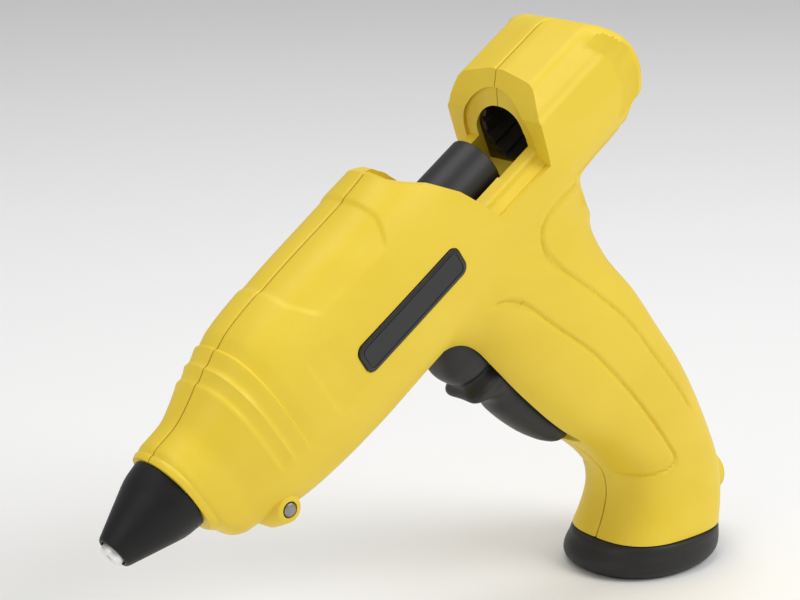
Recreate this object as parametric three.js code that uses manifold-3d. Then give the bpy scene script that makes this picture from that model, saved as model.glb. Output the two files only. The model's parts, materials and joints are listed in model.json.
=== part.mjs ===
// Hot melt glue gun: two moulded shells round a heating chamber, a sliding feed carriage
// and a sprung trigger.
// Millimetres. +Z up, nozzle towards -X, the shells part on the plane y = 0, the foot stands on z = 0.
import * as THREE from 'three';
import { mergeVertices } from 'three/addons/utils/BufferGeometryUtils.js';
import Module from 'manifold-3d';

const wasm = await Module();
wasm.setup();

// ---------- driving dimensions ----------
const GAP = 0.3;                 // clearance between touching pieces
const SEAM = 0.15;               // half of the parting gap
const AXIS_TILT = 34.2;          // glue stick axis above the horizontal, degrees
const TIP_X = -184;              // nozzle tip, the zero of the axis coordinates
const TIP_Z = 48;
const WALL = 2.4;                // shell wall
const EMBED = 1.1;               // how far under the surface the inner ribs and bosses stop

// Barrel stations along the axis: distance from the tip, top, bottom, half width.
const BARREL = [
  [22, 11.5, -12.5, 11.4],
  [24.5, 11.9, -19.0, 11.9],
  [28, 12.6, -21.6, 12.7],
  [36, 13.9, -24.0, 13.6],
  [46, 17.8, -26.8, 15.6],
  [58, 20.6, -28.8, 16.3],
  [72, 21.8, -29.4, 16.6],
  [96, 22.8, -29.2, 17.0],
  [122, 23.2, -29.8, 17.0],
  [156, 22.0, -30.0, 17.2],
];
const BARREL_ROUND = 2.7;        // exponent of the barrel section

// Handle stations by height: front, back, half width.
const HANDLE = [
  [10.3, -18.2, 24.4, 18.2],
  [16, -15.8, 25.4, 17.2],
  [24, -14.4, 25.4, 16.2],
  [31, -16.8, 23.6, 15.8],
  [40, -26.6, 19.8, 15.8],
  [50, -42.2, 14.8, 16.1],
  [62, -56.6, 7.2, 16.5],
  [74, -69.0, -2.4, 16.8],
  [86, -81.0, -12.2, 17.0],
  [98, -92.0, -24.0, 16.8],
  [108, -95.0, -30.4, 16.4],
  [118, -96.0, -33.4, 15.6],
  [130, -94.0, -39.0, 14.0],
];
const HANDLE_ROUND = 2.7;

// Rear block section above the stick axis: half width and height, from the roof down to the keel.
const BLOCK_SECTION = [
  [0, 16.2], [4.0, 16.0], [13.8, 14.4], [17.0, 9.2], [17.4, 7.4], [18.6, 6.6], [18.4, -3.0],
  [17.2, -11.0], [13.2, -17.8], [6.6, -21.2], [0, -22.0],
];
const BLOCK_FACE_S = 152.8;      // front face where it crosses the stick axis
const BLOCK_FACE_LEAN = 0.42;    // how much the front face leans back, per mm of height
const BLOCK_REAR_S = 189.6;      // rear face where it crosses the stick axis
const BLOCK_REAR_BULGE = 0.026;  // how fast the rear face falls away above and below the axis, per mm squared

// Window over the feed carriage
const WINDOW_FRONT_S = 131;
const WINDOW_SILL = -5;
const WINDOW_FRONT_LEAN = -0.65;
const WINDOW_HIGH = 34;          // above everything the window opens through
const SLAB_BELOW = 4.4;          // how far the block's front wall reaches under the window's floor

const CARRIAGE_R = 8.0;
const CARRIAGE_BORE_R = 6.2;
const CARRIAGE_FRONT = 90.4;
const CARRIAGE_REAR = 142.4;

const TRIGGER_PIVOT = [112, -27];      // along the axis, above the axis
const TRIGGER_HALF = 7.4;
const PRONG = [3.5, 5.5];              // inner and outer face of the trigger's fork

const FOOT_H = 10;
const FOOT_ROUND = 2.15;         // exponent of the foot's outline

// ---------- helpers ----------
const deg = THREE.MathUtils.degToRad;
const axisMatrix = new THREE.Matrix4().makeTranslation(TIP_X, 0, TIP_Z)
  .multiply(new THREE.Matrix4().makeRotationY(-deg(AXIS_TILT)));

/** A point given along the stick axis, across, and above it, in the part's own frame. */
function onAxis(s, y, n) {
  return new THREE.Vector3(s, y, n).applyMatrix4(axisMatrix);
}

function clean(geometry) {
  const g = geometry.clone();
  g.deleteAttribute('normal');
  g.deleteAttribute('uv');
  return mergeVertices(g, 1e-5);
}

function toSolid(geometry) {
  const g = clean(geometry);
  const mesh = new wasm.Mesh({
    numProp: 3,
    vertProperties: new Float32Array(g.attributes.position.array),
    triVerts: new Uint32Array(g.index.array),
  });
  const solid = new wasm.Manifold(mesh);
  if (solid.volume() > 0) return solid;
  const inside = g.index.array.slice();
  for (let t = 0; t < inside.length; t += 3) [inside[t], inside[t + 1]] = [inside[t + 1], inside[t]];
  return new wasm.Manifold(new wasm.Mesh({
    numProp: 3,
    vertProperties: new Float32Array(g.attributes.position.array),
    triVerts: new Uint32Array(inside),
  }));
}

function toGeometry(solid) {
  const mesh = solid.getMesh();
  const g = new THREE.BufferGeometry();
  g.setAttribute('position', new THREE.BufferAttribute(new Float32Array(mesh.vertProperties), 3));
  g.setIndex(new THREE.BufferAttribute(new Uint32Array(mesh.triVerts), 1));
  g.computeVertexNormals();
  return g;
}

/** Piecewise smooth reading of a station table at t: cubic through the rows, flat beyond the ends. */
function station(table, t) {
  const last = table.length - 1;
  if (t <= table[0][0]) return table[0].slice(1);
  if (t >= table[last][0]) return table[last].slice(1);
  const i = table.findIndex((row) => row[0] > t) - 1;
  const a = table[Math.max(i - 1, 0)];
  const b = table[i];
  const c = table[i + 1];
  const d = table[Math.min(i + 2, last)];
  const u = (t - b[0]) / (c[0] - b[0]);
  const h = c[0] - b[0];
  return b.slice(1).map((value, k) => {
    const next = c[k + 1];
    const slopeB = i > 0 ? (next - a[k + 1]) / (c[0] - a[0]) : (next - value) / h;
    const slopeC = i + 1 < last ? (d[k + 1] - value) / (d[0] - b[0]) : (next - value) / h;
    const u2 = u * u;
    const u3 = u2 * u;
    return (2 * u3 - 3 * u2 + 1) * value + (u3 - 2 * u2 + u) * h * slopeB
      + (3 * u2 - 2 * u3) * next + (u3 - u2) * h * slopeC;
  });
}

/** Closed body through rings of equal count, flat fans at both ends. */
function loft(rings) {
  const count = rings[0].length;
  const positions = [];
  const index = [];
  rings.forEach((ring) => ring.forEach((p) => positions.push(p.x, p.y, p.z)));
  for (let r = 0; r + 1 < rings.length; r += 1) {
    for (let k = 0; k < count; k += 1) {
      const a = r * count + k;
      const b = r * count + ((k + 1) % count);
      index.push(a, b, a + count, b, b + count, a + count);
    }
  }
  const cap = (ring, base, flip) => {
    const centre = ring.reduce((sum, p) => sum.add(p), new THREE.Vector3()).divideScalar(count);
    const hub = positions.length / 3;
    positions.push(centre.x, centre.y, centre.z);
    for (let k = 0; k < count; k += 1) {
      const a = base + k;
      const b = base + ((k + 1) % count);
      if (flip) index.push(hub, b, a);
      else index.push(hub, a, b);
    }
  };
  cap(rings[0], 0, true);
  cap(rings[rings.length - 1], (rings.length - 1) * count, false);
  const g = new THREE.BufferGeometry();
  g.setAttribute('position', new THREE.BufferAttribute(new Float32Array(positions), 3));
  g.setIndex(index);
  return toSolid(g);
}

/** Power of a cosine or sine that keeps its sign. */
function squared(value, exponent) {
  return Math.sign(value) * Math.abs(value) ** (2 / exponent);
}

/** Straight prism in the side plane: corners as [s, n] on the axis frame, from y0 to y1. */
function sidePrism(corners, y0, y1) {
  const shape = new THREE.Shape(corners.map(([s, n]) => new THREE.Vector2(s, n)));
  const g = new THREE.ExtrudeGeometry(shape, { depth: y1 - y0, bevelEnabled: false });
  g.rotateX(Math.PI / 2);
  g.translate(0, y1, 0);
  g.applyMatrix4(axisMatrix);
  return toSolid(g);
}

/** Box on the axis frame by its limits. */
function axisBox(s0, s1, y0, y1, n0, n1) {
  const g = new THREE.BoxGeometry(s1 - s0, y1 - y0, n1 - n0);
  g.translate((s0 + s1) / 2, (y0 + y1) / 2, (n0 + n1) / 2);
  g.applyMatrix4(axisMatrix);
  return toSolid(g);
}

/** Turned body on the stick axis: profile as [radius, s], closed by the axis or by itself. */
function turned(profile, segments = 32) {
  const g = new THREE.LatheGeometry(profile.map(([r, s]) => new THREE.Vector2(r, s)), segments);
  g.rotateZ(-Math.PI / 2);
  g.applyMatrix4(axisMatrix);
  return toSolid(g);
}

/** Rod along the stick axis. */
function axisRod(r, s0, s1, y = 0, n = 0, segments = 32) {
  const g = new THREE.CylinderGeometry(r, r, s1 - s0, segments);
  g.rotateZ(Math.PI / 2);
  g.translate((s0 + s1) / 2, y, n);
  g.applyMatrix4(axisMatrix);
  return toSolid(g);
}

/** Rod across the part, along Y, at a point given on the axis frame. */
function crossRod(r, s, n, y0, y1, segments = 24) {
  const g = new THREE.CylinderGeometry(r, r, y1 - y0, segments);
  g.translate(s, (y0 + y1) / 2, n);
  g.applyMatrix4(axisMatrix);
  return toSolid(g);
}

/** Rod across the part, along Y, at a point of the part's own frame. */
function crossRodAt(r, x, z, y0, y1, segments = 24) {
  const g = new THREE.CylinderGeometry(r, r, y1 - y0, segments);
  g.translate(x, (y0 + y1) / 2, z);
  return toSolid(g);
}

/** The largest body of a cut, without the slivers that grazing faces leave. */
function mainBody(solid) {
  return solid.decompose().reduce((a, b) => (b.volume() > a.volume() ? b : a));
}

/** Half space on one side of the parting plane. */
function sideOf(left) {
  const g = new THREE.BoxGeometry(400, 60, 400);
  g.translate(0, left ? -30 - SEAM : 30 + SEAM, 60);
  return toSolid(g);
}

// ---------- casing form ----------
const RING_POINTS = 36;

function barrelForm(inset, sEnd) {
  const first = 22 + (inset > 0 ? WALL + 1.6 : 0);
  const stations = [first, 24.5, 28, 34, 40, 47, 55, 64, 76, 92, 110, 130]
    .filter((s) => s >= first && s < sEnd);
  stations.push(sEnd);
  return loft(stations.map((s) => {
    const [top, bottom, half] = station(BARREL, s);
    const middle = (top + bottom) / 2;
    const rise = (top - bottom) / 2 - inset;
    return Array.from({ length: RING_POINTS }, (_, k) => {
      const a = (k / RING_POINTS) * 2 * Math.PI;
      return onAxis(s, (half - inset) * squared(Math.cos(a), BARREL_ROUND),
        middle + rise * squared(Math.sin(a), BARREL_ROUND));
    });
  }));
}

function handleForm(inset) {
  const stations = [10.3];
  for (let z = 15; z < 130; z += 6.5) stations.push(z);
  const lean = inset * 1.35;
  return loft(stations.map((z) => {
    const [front, back, half] = station(HANDLE, z);
    const middle = (front + back) / 2;
    const reach = (back - front) / 2 - lean;
    return Array.from({ length: RING_POINTS }, (_, k) => {
      const a = (k / RING_POINTS) * 2 * Math.PI;
      return new THREE.Vector3(middle + reach * squared(Math.cos(a), HANDLE_ROUND),
        (half - inset) * squared(Math.sin(a), HANDLE_ROUND), z);
    });
  }));
}

function blockForm(inset) {
  const left = BLOCK_SECTION.slice(1, -1).reverse().map(([y, n]) => [-y, n]);
  const scale = (18.9 - inset) / 18.9;
  const ring = BLOCK_SECTION.concat(left).map(([y, n]) => [y * scale, -3 + (n + 3) * (19 - inset) / 19]);
  const section = (s, lean, bulge, shrink) => ring.map(([y, n]) => {
    const height = -2 + (n + 2) * shrink;
    return onAxis(s + lean * height - bulge * height * height, y * shrink, height);
  });
  return loft([
    section(BLOCK_FACE_S - 14, 0, 0, 0.91),
    section(BLOCK_FACE_S + inset, BLOCK_FACE_LEAN, 0, 1),
    section(BLOCK_REAR_S - 9, 0, BLOCK_REAR_BULGE, 1),
    section(BLOCK_REAR_S - 3.5 - inset * 0.5, 0, BLOCK_REAR_BULGE, 0.965),
    section(BLOCK_REAR_S - inset, 0, BLOCK_REAR_BULGE, 0.9),
  ]);
}

// ---------- what the casing holds, and where ----------
/** Point of the axis frame as [x, z] of the part's own frame. */
function sideXZ(s, n) {
  const p = onAxis(s, 0, n);
  return [p.x, p.z];
}

const CHAMBER_R = 9.0;
const CHAMBER_FRONT = 23;
const CHAMBER_REAR = 78;
const HEATER_TOP = -11.2;
const STICK_BORE_R = 6.0;
const RIBS = [29, 68.5, 93];           // front faces of the ribs, along the axis
const RIB_HOLES = [9.3, 9.3, 8.3];
const RIB_T = 2;
const GUIDE_R = 9.2;                   // stick guide in the rear block
const GUIDE_BORE_R = 8.1;
const GUIDE_REAR = 187;
const ARCH_R = 9.0;                    // arched opening in the block's front face
const SPRING_POST = [168, -13];
const NOSE_BOSS = [39.7, -21];
const NOSE_BOSS_R = 4.1;
const NOSE_BOSS_HALF = 13.2;
const NOSE_PIN_R = 1.9;
const LEVER_PIVOT = [122, -11.2];      // gripper lever on the carriage
const DRIVE_PIN = [115, -12.6];        // where the trigger fork pushes the lever
const CORD_INLET = [30, 19.5];         // x, z of the cord inlet boss on the handle's back
const CORD_INLET_R = 4.5;
const CORD_BORE_R = 3.1;
const INLET_BOSS_R = [5.9, 7.2];       // outer end, root
const INLET_BOSS_LONG = 8;
const PIVOT_BOSS_R = 4.2;
const PIVOT_PIN_R = 1.6;
const SCREW_BOSS_R = 3.4;
const POST_R = 2.2;                    // return spring's post
const INSIDE_REACH = 15.5;             // how far the inner bosses run out towards the walls
const SLOT_HALF = 8.2;                 // trigger slot
const NOSE_HOLE_R = 10.4;
const LINK_PIN_R = [1.1, 1.2];         // lever pin, drive pin
const LINK_PIN_HALF = 5.6;
const EAR = [3.5, 5.4];                // inner and outer face of the tube's ears
const BADGE_CORNER_R = 2.4;
const CHECK_BALL_R = 2.2;
const CHECK_BALL_S = 18.6;
const LEAD_R = 0.9;
const SHELL_SCREWS = [                 // x, z
  sideXZ(56, 13.6), sideXZ(112, 15), sideXZ(76, -24.4), sideXZ(176, -14), [-12, 60], [2, 22.4],
];
const SCREW_R = 1.2;
const SCREW_HEAD_R = 2.7;
const SCREW_HEAD_Y = [10.0, 12.2];     // underside and top of the head
const RECESS = [3.4, 1.6, 0.8];        // arm length, depth, arm width of the cross recess
const BADGE = { s0: 76, s1: 115, n0: -8.2, n1: 0.2, face: 17.4, floor: 16.3 };

/** Ribs that carry the heating chamber and guide the feed carriage. */
function ribs() {
  return RIBS.map((s, i) => axisBox(s, s + RIB_T, -30, 30, -40, 40)
    .subtract(axisRod(RIB_HOLES[i], s - 1, s + RIB_T + 1))
    .subtract(axisBox(s - 1, s + RIB_T + 1, -4.8, 4.8, -24, -8)));
}

/** Cradle under the window: a trough round the carriage with two steps down to the sill. */
function cradle() {
  const front = 129;
  const rear = 150.8;
  return axisBox(front, rear, -11, 11, -12, 0)
    .add(axisBox(front, rear, -13.2, 13.2, -12, -2.4))
    .add(axisBox(front, rear, -15.6, 15.6, -12, -6))
    .subtract(axisRod(CARRIAGE_R + 0.4, front - 1, rear + 1))
    .subtract(axisBox(front - 1, rear + 1, -6.2, 6.2, -20, -3));
}

function bossesInside() {
  const parts = SHELL_SCREWS.map(([x, z]) => crossRodAt(SCREW_BOSS_R, x, z, -15, 15, 20));
  const [s, n] = TRIGGER_PIVOT;
  parts.push(crossRod(PIVOT_BOSS_R, s, n, -INSIDE_REACH, -TRIGGER_HALF - 2 * GAP, 20));
  parts.push(crossRod(PIVOT_BOSS_R, s, n, TRIGGER_HALF + 2 * GAP, INSIDE_REACH, 20));
  parts.push(crossRod(POST_R, SPRING_POST[0], SPRING_POST[1], -16, 16, 16));
  return parts;
}

/** Opening in the front of the handle that the trigger swings in. */
function triggerSlot() {
  const corners = [[92, -46], [97.6, -24], [124, -24], [125, -34], [127, -60], [131, -83.5],
    [122.6, -88], [110, -92], [95, -62]];
  return sidePrism(corners, -SLOT_HALF, SLOT_HALF);
}

function windowCut() {
  const lean = WINDOW_FRONT_LEAN;
  const high = WINDOW_HIGH;
  const corners = [
    [WINDOW_FRONT_S, WINDOW_SILL],
    [BLOCK_FACE_S + BLOCK_FACE_LEAN * WINDOW_SILL, WINDOW_SILL],
    [BLOCK_FACE_S + BLOCK_FACE_LEAN * high, high],
    [WINDOW_FRONT_S + lean * (high - WINDOW_SILL), high],
  ];
  return sidePrism(corners, -30, 30);
}

/** The slab behind the block's leaning front face, from the window's floor up. */
function blockFaceSlab(thickness) {
  const low = WINDOW_SILL - SLAB_BELOW;
  const high = WINDOW_HIGH;
  return sidePrism([
    [BLOCK_FACE_S - 2 + BLOCK_FACE_LEAN * low, low],
    [BLOCK_FACE_S + thickness + BLOCK_FACE_LEAN * low, low],
    [BLOCK_FACE_S + thickness + BLOCK_FACE_LEAN * high, high],
    [BLOCK_FACE_S - 2 + BLOCK_FACE_LEAN * high, high],
  ], -30, 30);
}

/** Everything the two shells share before they part. */
function casing() {
  const nose = crossRod(NOSE_BOSS_R, NOSE_BOSS[0], NOSE_BOSS[1], -NOSE_BOSS_HALF, NOSE_BOSS_HALF, 28);
  const [cordX, cordZ] = CORD_INLET;
  const inletBoss = new THREE.CylinderGeometry(INLET_BOSS_R[0], INLET_BOSS_R[1], INLET_BOSS_LONG, 28);
  inletBoss.rotateZ(-Math.PI / 2);
  inletBoss.translate(cordX + 0.8 - INLET_BOSS_LONG / 2, 0, cordZ);
  const inletBore = new THREE.CylinderGeometry(CORD_INLET_R, CORD_INLET_R, 30, 24);
  inletBore.rotateZ(Math.PI / 2);
  inletBore.translate(cordX, 0, cordZ);
  const outside = barrelForm(0, 158).add(handleForm(0)).add(blockForm(0)).add(nose)
    .add(toSolid(inletBoss));
  const hollow = barrelForm(WALL, 156).add(handleForm(WALL)).add(blockForm(WALL))
    .subtract(blockFaceSlab(WALL));
  let body = outside.subtract(hollow);
  body = body.subtract(windowCut());
  const inner = ribs().concat(bossesInside());
  inner.push(cradle());
  const embed = barrelForm(EMBED, 150).add(handleForm(EMBED)).add(blockForm(EMBED));
  inner.forEach((piece) => { body = body.add(piece.intersect(embed)); });
  body = body.subtract(triggerSlot());
  body = body.subtract(axisRod(NOSE_HOLE_R, 18, 27.5));
  body = body.subtract(axisRod(GUIDE_R + GAP, 140, 215).subtract(blockFaceSlab(WALL)));
  body = body.subtract(axisRod(ARCH_R, 147, 159));
  body = body.subtract(axisBox(147, 159, -ARCH_R, ARCH_R, -9, 0));
  body = body.subtract(toSolid(inletBore));
  body = body.subtract(crossRod(NOSE_PIN_R + GAP, NOSE_BOSS[0], NOSE_BOSS[1], -16, 16));
  body = body.subtract(crossRod(PIVOT_PIN_R + GAP, TRIGGER_PIVOT[0], TRIGGER_PIVOT[1], -12.6, 12.6));
  SHELL_SCREWS.forEach(([x, z]) => {
    body = body.subtract(crossRodAt(SCREW_R + GAP, x, z, -11, 30, 16));
    body = body.subtract(crossRodAt(SCREW_HEAD_R + GAP, x, z, SCREW_HEAD_Y[0] - GAP, 30, 20));
  });
  const b = BADGE;
  body = body.subtract(axisBox(b.s0 - GAP, b.s1 + GAP, -22, -b.floor, b.n0 - GAP, b.n1 + GAP));
  return body;
}

// ---------- hot end ----------
function nozzle() {
  return turned([
    [0.9, 0], [2.6, 0], [3.0, 0.6], [3.6, 6], [6.6, 12], [6.6, 17], [4.6, 17], [4.6, 28],
    [3.2, 28], [3.2, 16], [0.9, 11], [0.9, 0],
  ], 28);
}

function nozzleBoot() {
  return turned([
    [3.9, 1.6], [4.4, 1.6], [8.9, 16.6], [10.6, 19.4], [11.0, 21.7], [8.2, 21.7], [8.2, 13.6],
    [4.3, 7.0], [3.9, 6.0], [3.9, 1.6],
  ], 34);
}

function checkBall() {
  const g = new THREE.SphereGeometry(CHECK_BALL_R, 16, 12);
  g.translate(CHECK_BALL_S, 0, 0);
  g.applyMatrix4(axisMatrix);
  return toSolid(g);
}

/** Round wire wound on a straight line between two points. */
function coil(start, end, coilR, wireR, turns, stepsPerTurn = 12) {
  const axis = end.clone().sub(start);
  const along = axis.clone().normalize();
  const sideways = new THREE.Vector3(0, 1, 0);
  const up = along.clone().cross(sideways).normalize();
  const points = Array.from({ length: turns * stepsPerTurn + 1 }, (_, i) => {
    const t = i / (turns * stepsPerTurn);
    const a = t * turns * 2 * Math.PI;
    return start.clone().addScaledVector(axis, t)
      .addScaledVector(sideways, coilR * Math.cos(a)).addScaledVector(up, coilR * Math.sin(a));
  });
  return wire(new THREE.CatmullRomCurve3(points), wireR, turns * stepsPerTurn, 5);
}

/** Round rod along a curve, closed at both ends. */
function wire(path, radius, steps, sides = 8) {
  const shape = new THREE.Shape(Array.from({ length: sides }, (_, k) => {
    const a = (k / sides) * 2 * Math.PI;
    return new THREE.Vector2(radius * Math.cos(a), radius * Math.sin(a));
  }));
  return toSolid(new THREE.ExtrudeGeometry(shape, { steps, extrudePath: path, bevelEnabled: false }));
}

function checkSpring() {
  return coil(onAxis(21.4, 0, 0), onAxis(27.2, 0, 0), 2.2, 0.35, 3, 10);
}

function heatingChamber() {
  const tube = turned([
    [4.9, CHAMBER_FRONT], [7.4, CHAMBER_FRONT], [CHAMBER_R, 32], [CHAMBER_R, CHAMBER_REAR],
    [STICK_BORE_R, CHAMBER_REAR], [STICK_BORE_R, 38], [4.9, 33], [4.9, CHAMBER_FRONT],
  ], 32);
  const pocket = axisBox(46, 66, -8.4, 8.4, HEATER_TOP - 6.2, -6.4);
  const slot = axisBox(45, 67, -6.6, 6.6, HEATER_TOP - 4.2, HEATER_TOP);
  return tube.add(pocket).subtract(slot).subtract(axisRod(STICK_BORE_R, 36, 80));
}

function heater() {
  return axisBox(47, 65, -6.2, 6.2, HEATER_TOP - 3.8, HEATER_TOP - 0.4);
}

function heaterClip() {
  const outer = axisBox(51, 61, -10.2, 10.2, HEATER_TOP - 7.4, -5);
  return outer.subtract(axisBox(50, 62, -8.8, 8.8, HEATER_TOP - 6.5, 0))
    .subtract(axisRod(CHAMBER_R + GAP, 50, 62));
}

function inletSleeve() {
  return turned([
    [CHAMBER_R + GAP, 72.5], [10.8, 72.5], [10.8, 79.6], [8.4, 83.8], [STICK_BORE_R, 83.8],
    [STICK_BORE_R, 78.4], [CHAMBER_R + GAP, 78.4], [CHAMBER_R + GAP, 72.5],
  ], 28);
}

function sleeveClip() {
  return turned([[11.1, 73.6], [12.0, 73.6], [12.0, 77.2], [11.1, 77.2], [11.1, 73.6]], 28);
}

// ---------- feed ----------
function feedCarriage() {
  const r = CARRIAGE_R;
  const tube = turned([
    [CARRIAGE_BORE_R, CARRIAGE_FRONT], [r, CARRIAGE_FRONT], [r, CARRIAGE_REAR - 0.6],
    [r - 0.6, CARRIAGE_REAR], [CARRIAGE_BORE_R, CARRIAGE_REAR], [CARRIAGE_BORE_R, CARRIAGE_FRONT],
  ], 32);
  const [s, n] = LEVER_PIVOT;
  const ears = axisBox(s - 3, s + 5, -EAR[1], -EAR[0], n - 2.6, -6.6)
    .add(axisBox(s - 3, s + 5, EAR[0], EAR[1], n - 2.6, -6.6));
  const slot = axisBox(109, 128, -EAR[0], EAR[0], -9, -3);
  return tube.subtract(slot).add(ears).subtract(axisRod(CARRIAGE_BORE_R, 85, 150))
    .subtract(crossRod(LINK_PIN_R[0] + GAP, s, n, -7, 7));
}

function gripperLever() {
  const [s, n] = LEVER_PIVOT;
  const outline = [
    [s + 3, n - 2.4], [s + 3, n + 2.4], [s - 4.6, -7.0], [s - 5.4, -6.3], [s - 6.1, -7.2],
    [s - 6.9, -6.3], [s - 7.6, -7.2], [s - 8.4, -6.3], [s - 9.6, -8.4], [s - 9.4, -14.8],
    [s - 4.6, -14.8], [s - 3, n - 2.8],
  ];
  return sidePrism(outline, -3.1, 3.1).subtract(crossRod(LINK_PIN_R[0] + GAP, s, n, -5, 5))
    .subtract(crossRod(LINK_PIN_R[1] + GAP, DRIVE_PIN[0], DRIVE_PIN[1], -5, 5));
}

function drivePin() {
  return crossRod(LINK_PIN_R[1], DRIVE_PIN[0], DRIVE_PIN[1], -LINK_PIN_HALF, LINK_PIN_HALF, 20);
}

function leverPin() {
  return crossRod(LINK_PIN_R[0], LEVER_PIVOT[0], LEVER_PIVOT[1], -LINK_PIN_HALF, LINK_PIN_HALF, 20);
}

function returnSpring() {
  const start = onAxis(LEVER_PIVOT[0] + 5.6, 0, -11.6);
  const end = onAxis(SPRING_POST[0] - 2.9, 0, SPRING_POST[1]);
  return coil(start, end, 2.3, 0.4, 8, 9);
}

// ---------- trigger ----------
const TRIGGER_OUTLINE = [
  [105.4, -26], [103.6, -31], [101.2, -36], [100.6, -42], [102, -48], [105, -53], [107.6, -58],
  [110.2, -65], [113.2, -73], [116, -79.4], [118.6, -83.6], [121.2, -85.4], [123.8, -84.8],
  [125, -82], [124, -72], [122.4, -58], [120.6, -44], [119, -34], [118.4, -25], [116, -21.2],
  [112, -20.4], [107.6, -22],
];

function trigger() {
  const [s, n] = TRIGGER_PIVOT;
  const [ps, pn] = DRIVE_PIN;
  const blade = sidePrism(TRIGGER_OUTLINE, -TRIGGER_HALF, TRIGGER_HALF);
  const corners = sidePrism([[98, -80], [98, -20], [101.6, -20], [101.6, -50], [118, -88], [104, -88]],
    -30, 30);
  const prong = (y0, y1) => axisBox(ps - 3.6, ps + 3.2, y0, y1, -24, pn + 2.4);
  const pocket = axisBox(108.8, 130, -5.3, 5.3, -60, -33);
  return blade.add(prong(-PRONG[1], -PRONG[0])).add(prong(PRONG[0], PRONG[1]))
    .subtract(corners.intersect(axisBox(90, 130, -30, -TRIGGER_HALF + 1.2, -90, -20)))
    .subtract(corners.intersect(axisBox(90, 130, TRIGGER_HALF - 1.2, 30, -90, -20)))
    .subtract(axisBox(ps - 1.7, ps + 1.7, -6, 6, pn - 1.9, pn + 4))
    .subtract(crossRod(PIVOT_PIN_R + GAP, s, n, -10, 10))
    .subtract(pocket);
}

function triggerPin() {
  return crossRod(PIVOT_PIN_R, TRIGGER_PIVOT[0], TRIGGER_PIVOT[1], -12.3, 12.3, 20);
}

function nosePin() {
  return crossRod(NOSE_PIN_R, NOSE_BOSS[0], NOSE_BOSS[1], -13.6, 13.6, 24);
}

// ---------- fasteners, foot, badge, electrics ----------
/** Pan head screw driven from the right, head just under the surface, with a cross recess. */
function shellScrew([x, z]) {
  const shank = crossRodAt(SCREW_R, x, z, -10.5, 11, 16);
  const head = crossRodAt(SCREW_HEAD_R, x, z, SCREW_HEAD_Y[0], SCREW_HEAD_Y[1], 20);
  const slotLong = new THREE.BoxGeometry(RECESS[0], RECESS[1], RECESS[2]);
  slotLong.translate(x, SCREW_HEAD_Y[1], z);
  const slotCross = new THREE.BoxGeometry(RECESS[2], RECESS[1], RECESS[0]);
  slotCross.translate(x, SCREW_HEAD_Y[1], z);
  return shank.add(head).subtract(toSolid(slotLong)).subtract(toSolid(slotCross));
}

/** Flared base: rings by height as [z, centre x, half length, half width]. */
const FOOT_RINGS = [
  [0, 0.2, 20.4, 17.7], [1.4, 0.6, 22.8, 19.6], [4.4, 1.4, 24.1, 20.5], [7.6, 2.5, 23.3, 20.0],
  [FOOT_H, 3.0, 22.4, 19.4],
];

function foot() {
  const ring = ([z, centre, a, b]) => Array.from({ length: 48 }, (_, k) => {
    const t = (k / 48) * 2 * Math.PI;
    return new THREE.Vector3(centre + a * squared(Math.cos(t), FOOT_ROUND),
      b * squared(Math.sin(t), FOOT_ROUND), z);
  });
  const spigot = ([z, centre, a, b]) => Array.from({ length: 32 }, (_, k) => {
    const t = (k / 32) * 2 * Math.PI;
    return new THREE.Vector3(centre + a * Math.cos(t), b * Math.sin(t), z);
  });
  return loft(FOOT_RINGS.map(ring))
    .add(loft([[FOOT_H - 2, 3.8, 16.2, 13.8], [FOOT_H + 5, 4.8, 15.4, 12.6]].map(spigot)))
    .subtract(loft([[FOOT_H - 3, 3.8, 13.4, 11.4], [FOOT_H + 8, 4.8, 12.8, 10.2]].map(spigot)));
}

function badge() {
  const b = BADGE;
  const r = BADGE_CORNER_R;
  const shape = new THREE.Shape();
  const s0 = b.s0 + r;
  const s1 = b.s1 - r;
  const n0 = b.n0 + r;
  const n1 = b.n1 - r;
  shape.moveTo(s0, b.n0);
  shape.lineTo(s1, b.n0);
  shape.absarc(s1, n0, r, -Math.PI / 2, 0, false);
  shape.absarc(s1, n1, r, 0, Math.PI / 2, false);
  shape.absarc(s0, n1, r, Math.PI / 2, Math.PI, false);
  shape.absarc(s0, n0, r, Math.PI, 1.5 * Math.PI, false);
  const g = new THREE.ExtrudeGeometry(shape, {
    depth: b.face - b.floor - GAP, bevelEnabled: false, curveSegments: 5,
  });
  g.rotateX(Math.PI / 2);
  g.translate(0, -b.floor - GAP, 0);
  g.applyMatrix4(axisMatrix);
  return toSolid(g);
}

function stickGuide() {
  const front = BLOCK_FACE_S - 8;
  const tube = turned([
    [GUIDE_BORE_R, front], [GUIDE_R, front], [GUIDE_R, GUIDE_REAR], [GUIDE_BORE_R, GUIDE_REAR],
    [GUIDE_BORE_R, front],
  ], 32);
  const reach = 40;
  const end = BLOCK_FACE_S + WALL + GAP;
  return tube.subtract(sidePrism([
    [end - reach, -reach], [end - BLOCK_FACE_LEAN * reach, -reach],
    [end + BLOCK_FACE_LEAN * reach, reach], [end - reach, reach],
  ], -reach, reach));
}

function terminalBlock() {
  const g = new THREE.BoxGeometry(7.6, 14, 8);
  g.translate(10.9, 0, 36);
  let block = toSolid(g);
  for (const y of [-3.6, 3.6]) {
    const hole = new THREE.CylinderGeometry(1.7, 1.7, 20, 14);
    hole.rotateX(Math.PI / 2);
    hole.translate(11.4, y, 36);
    block = block.subtract(toSolid(hole));
  }
  return block;
}

function cordClamp() {
  const plate = new THREE.BoxGeometry(4, 15, 2.2);
  plate.translate(17, 0, 27.4);
  return toSolid(plate);
}

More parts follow.
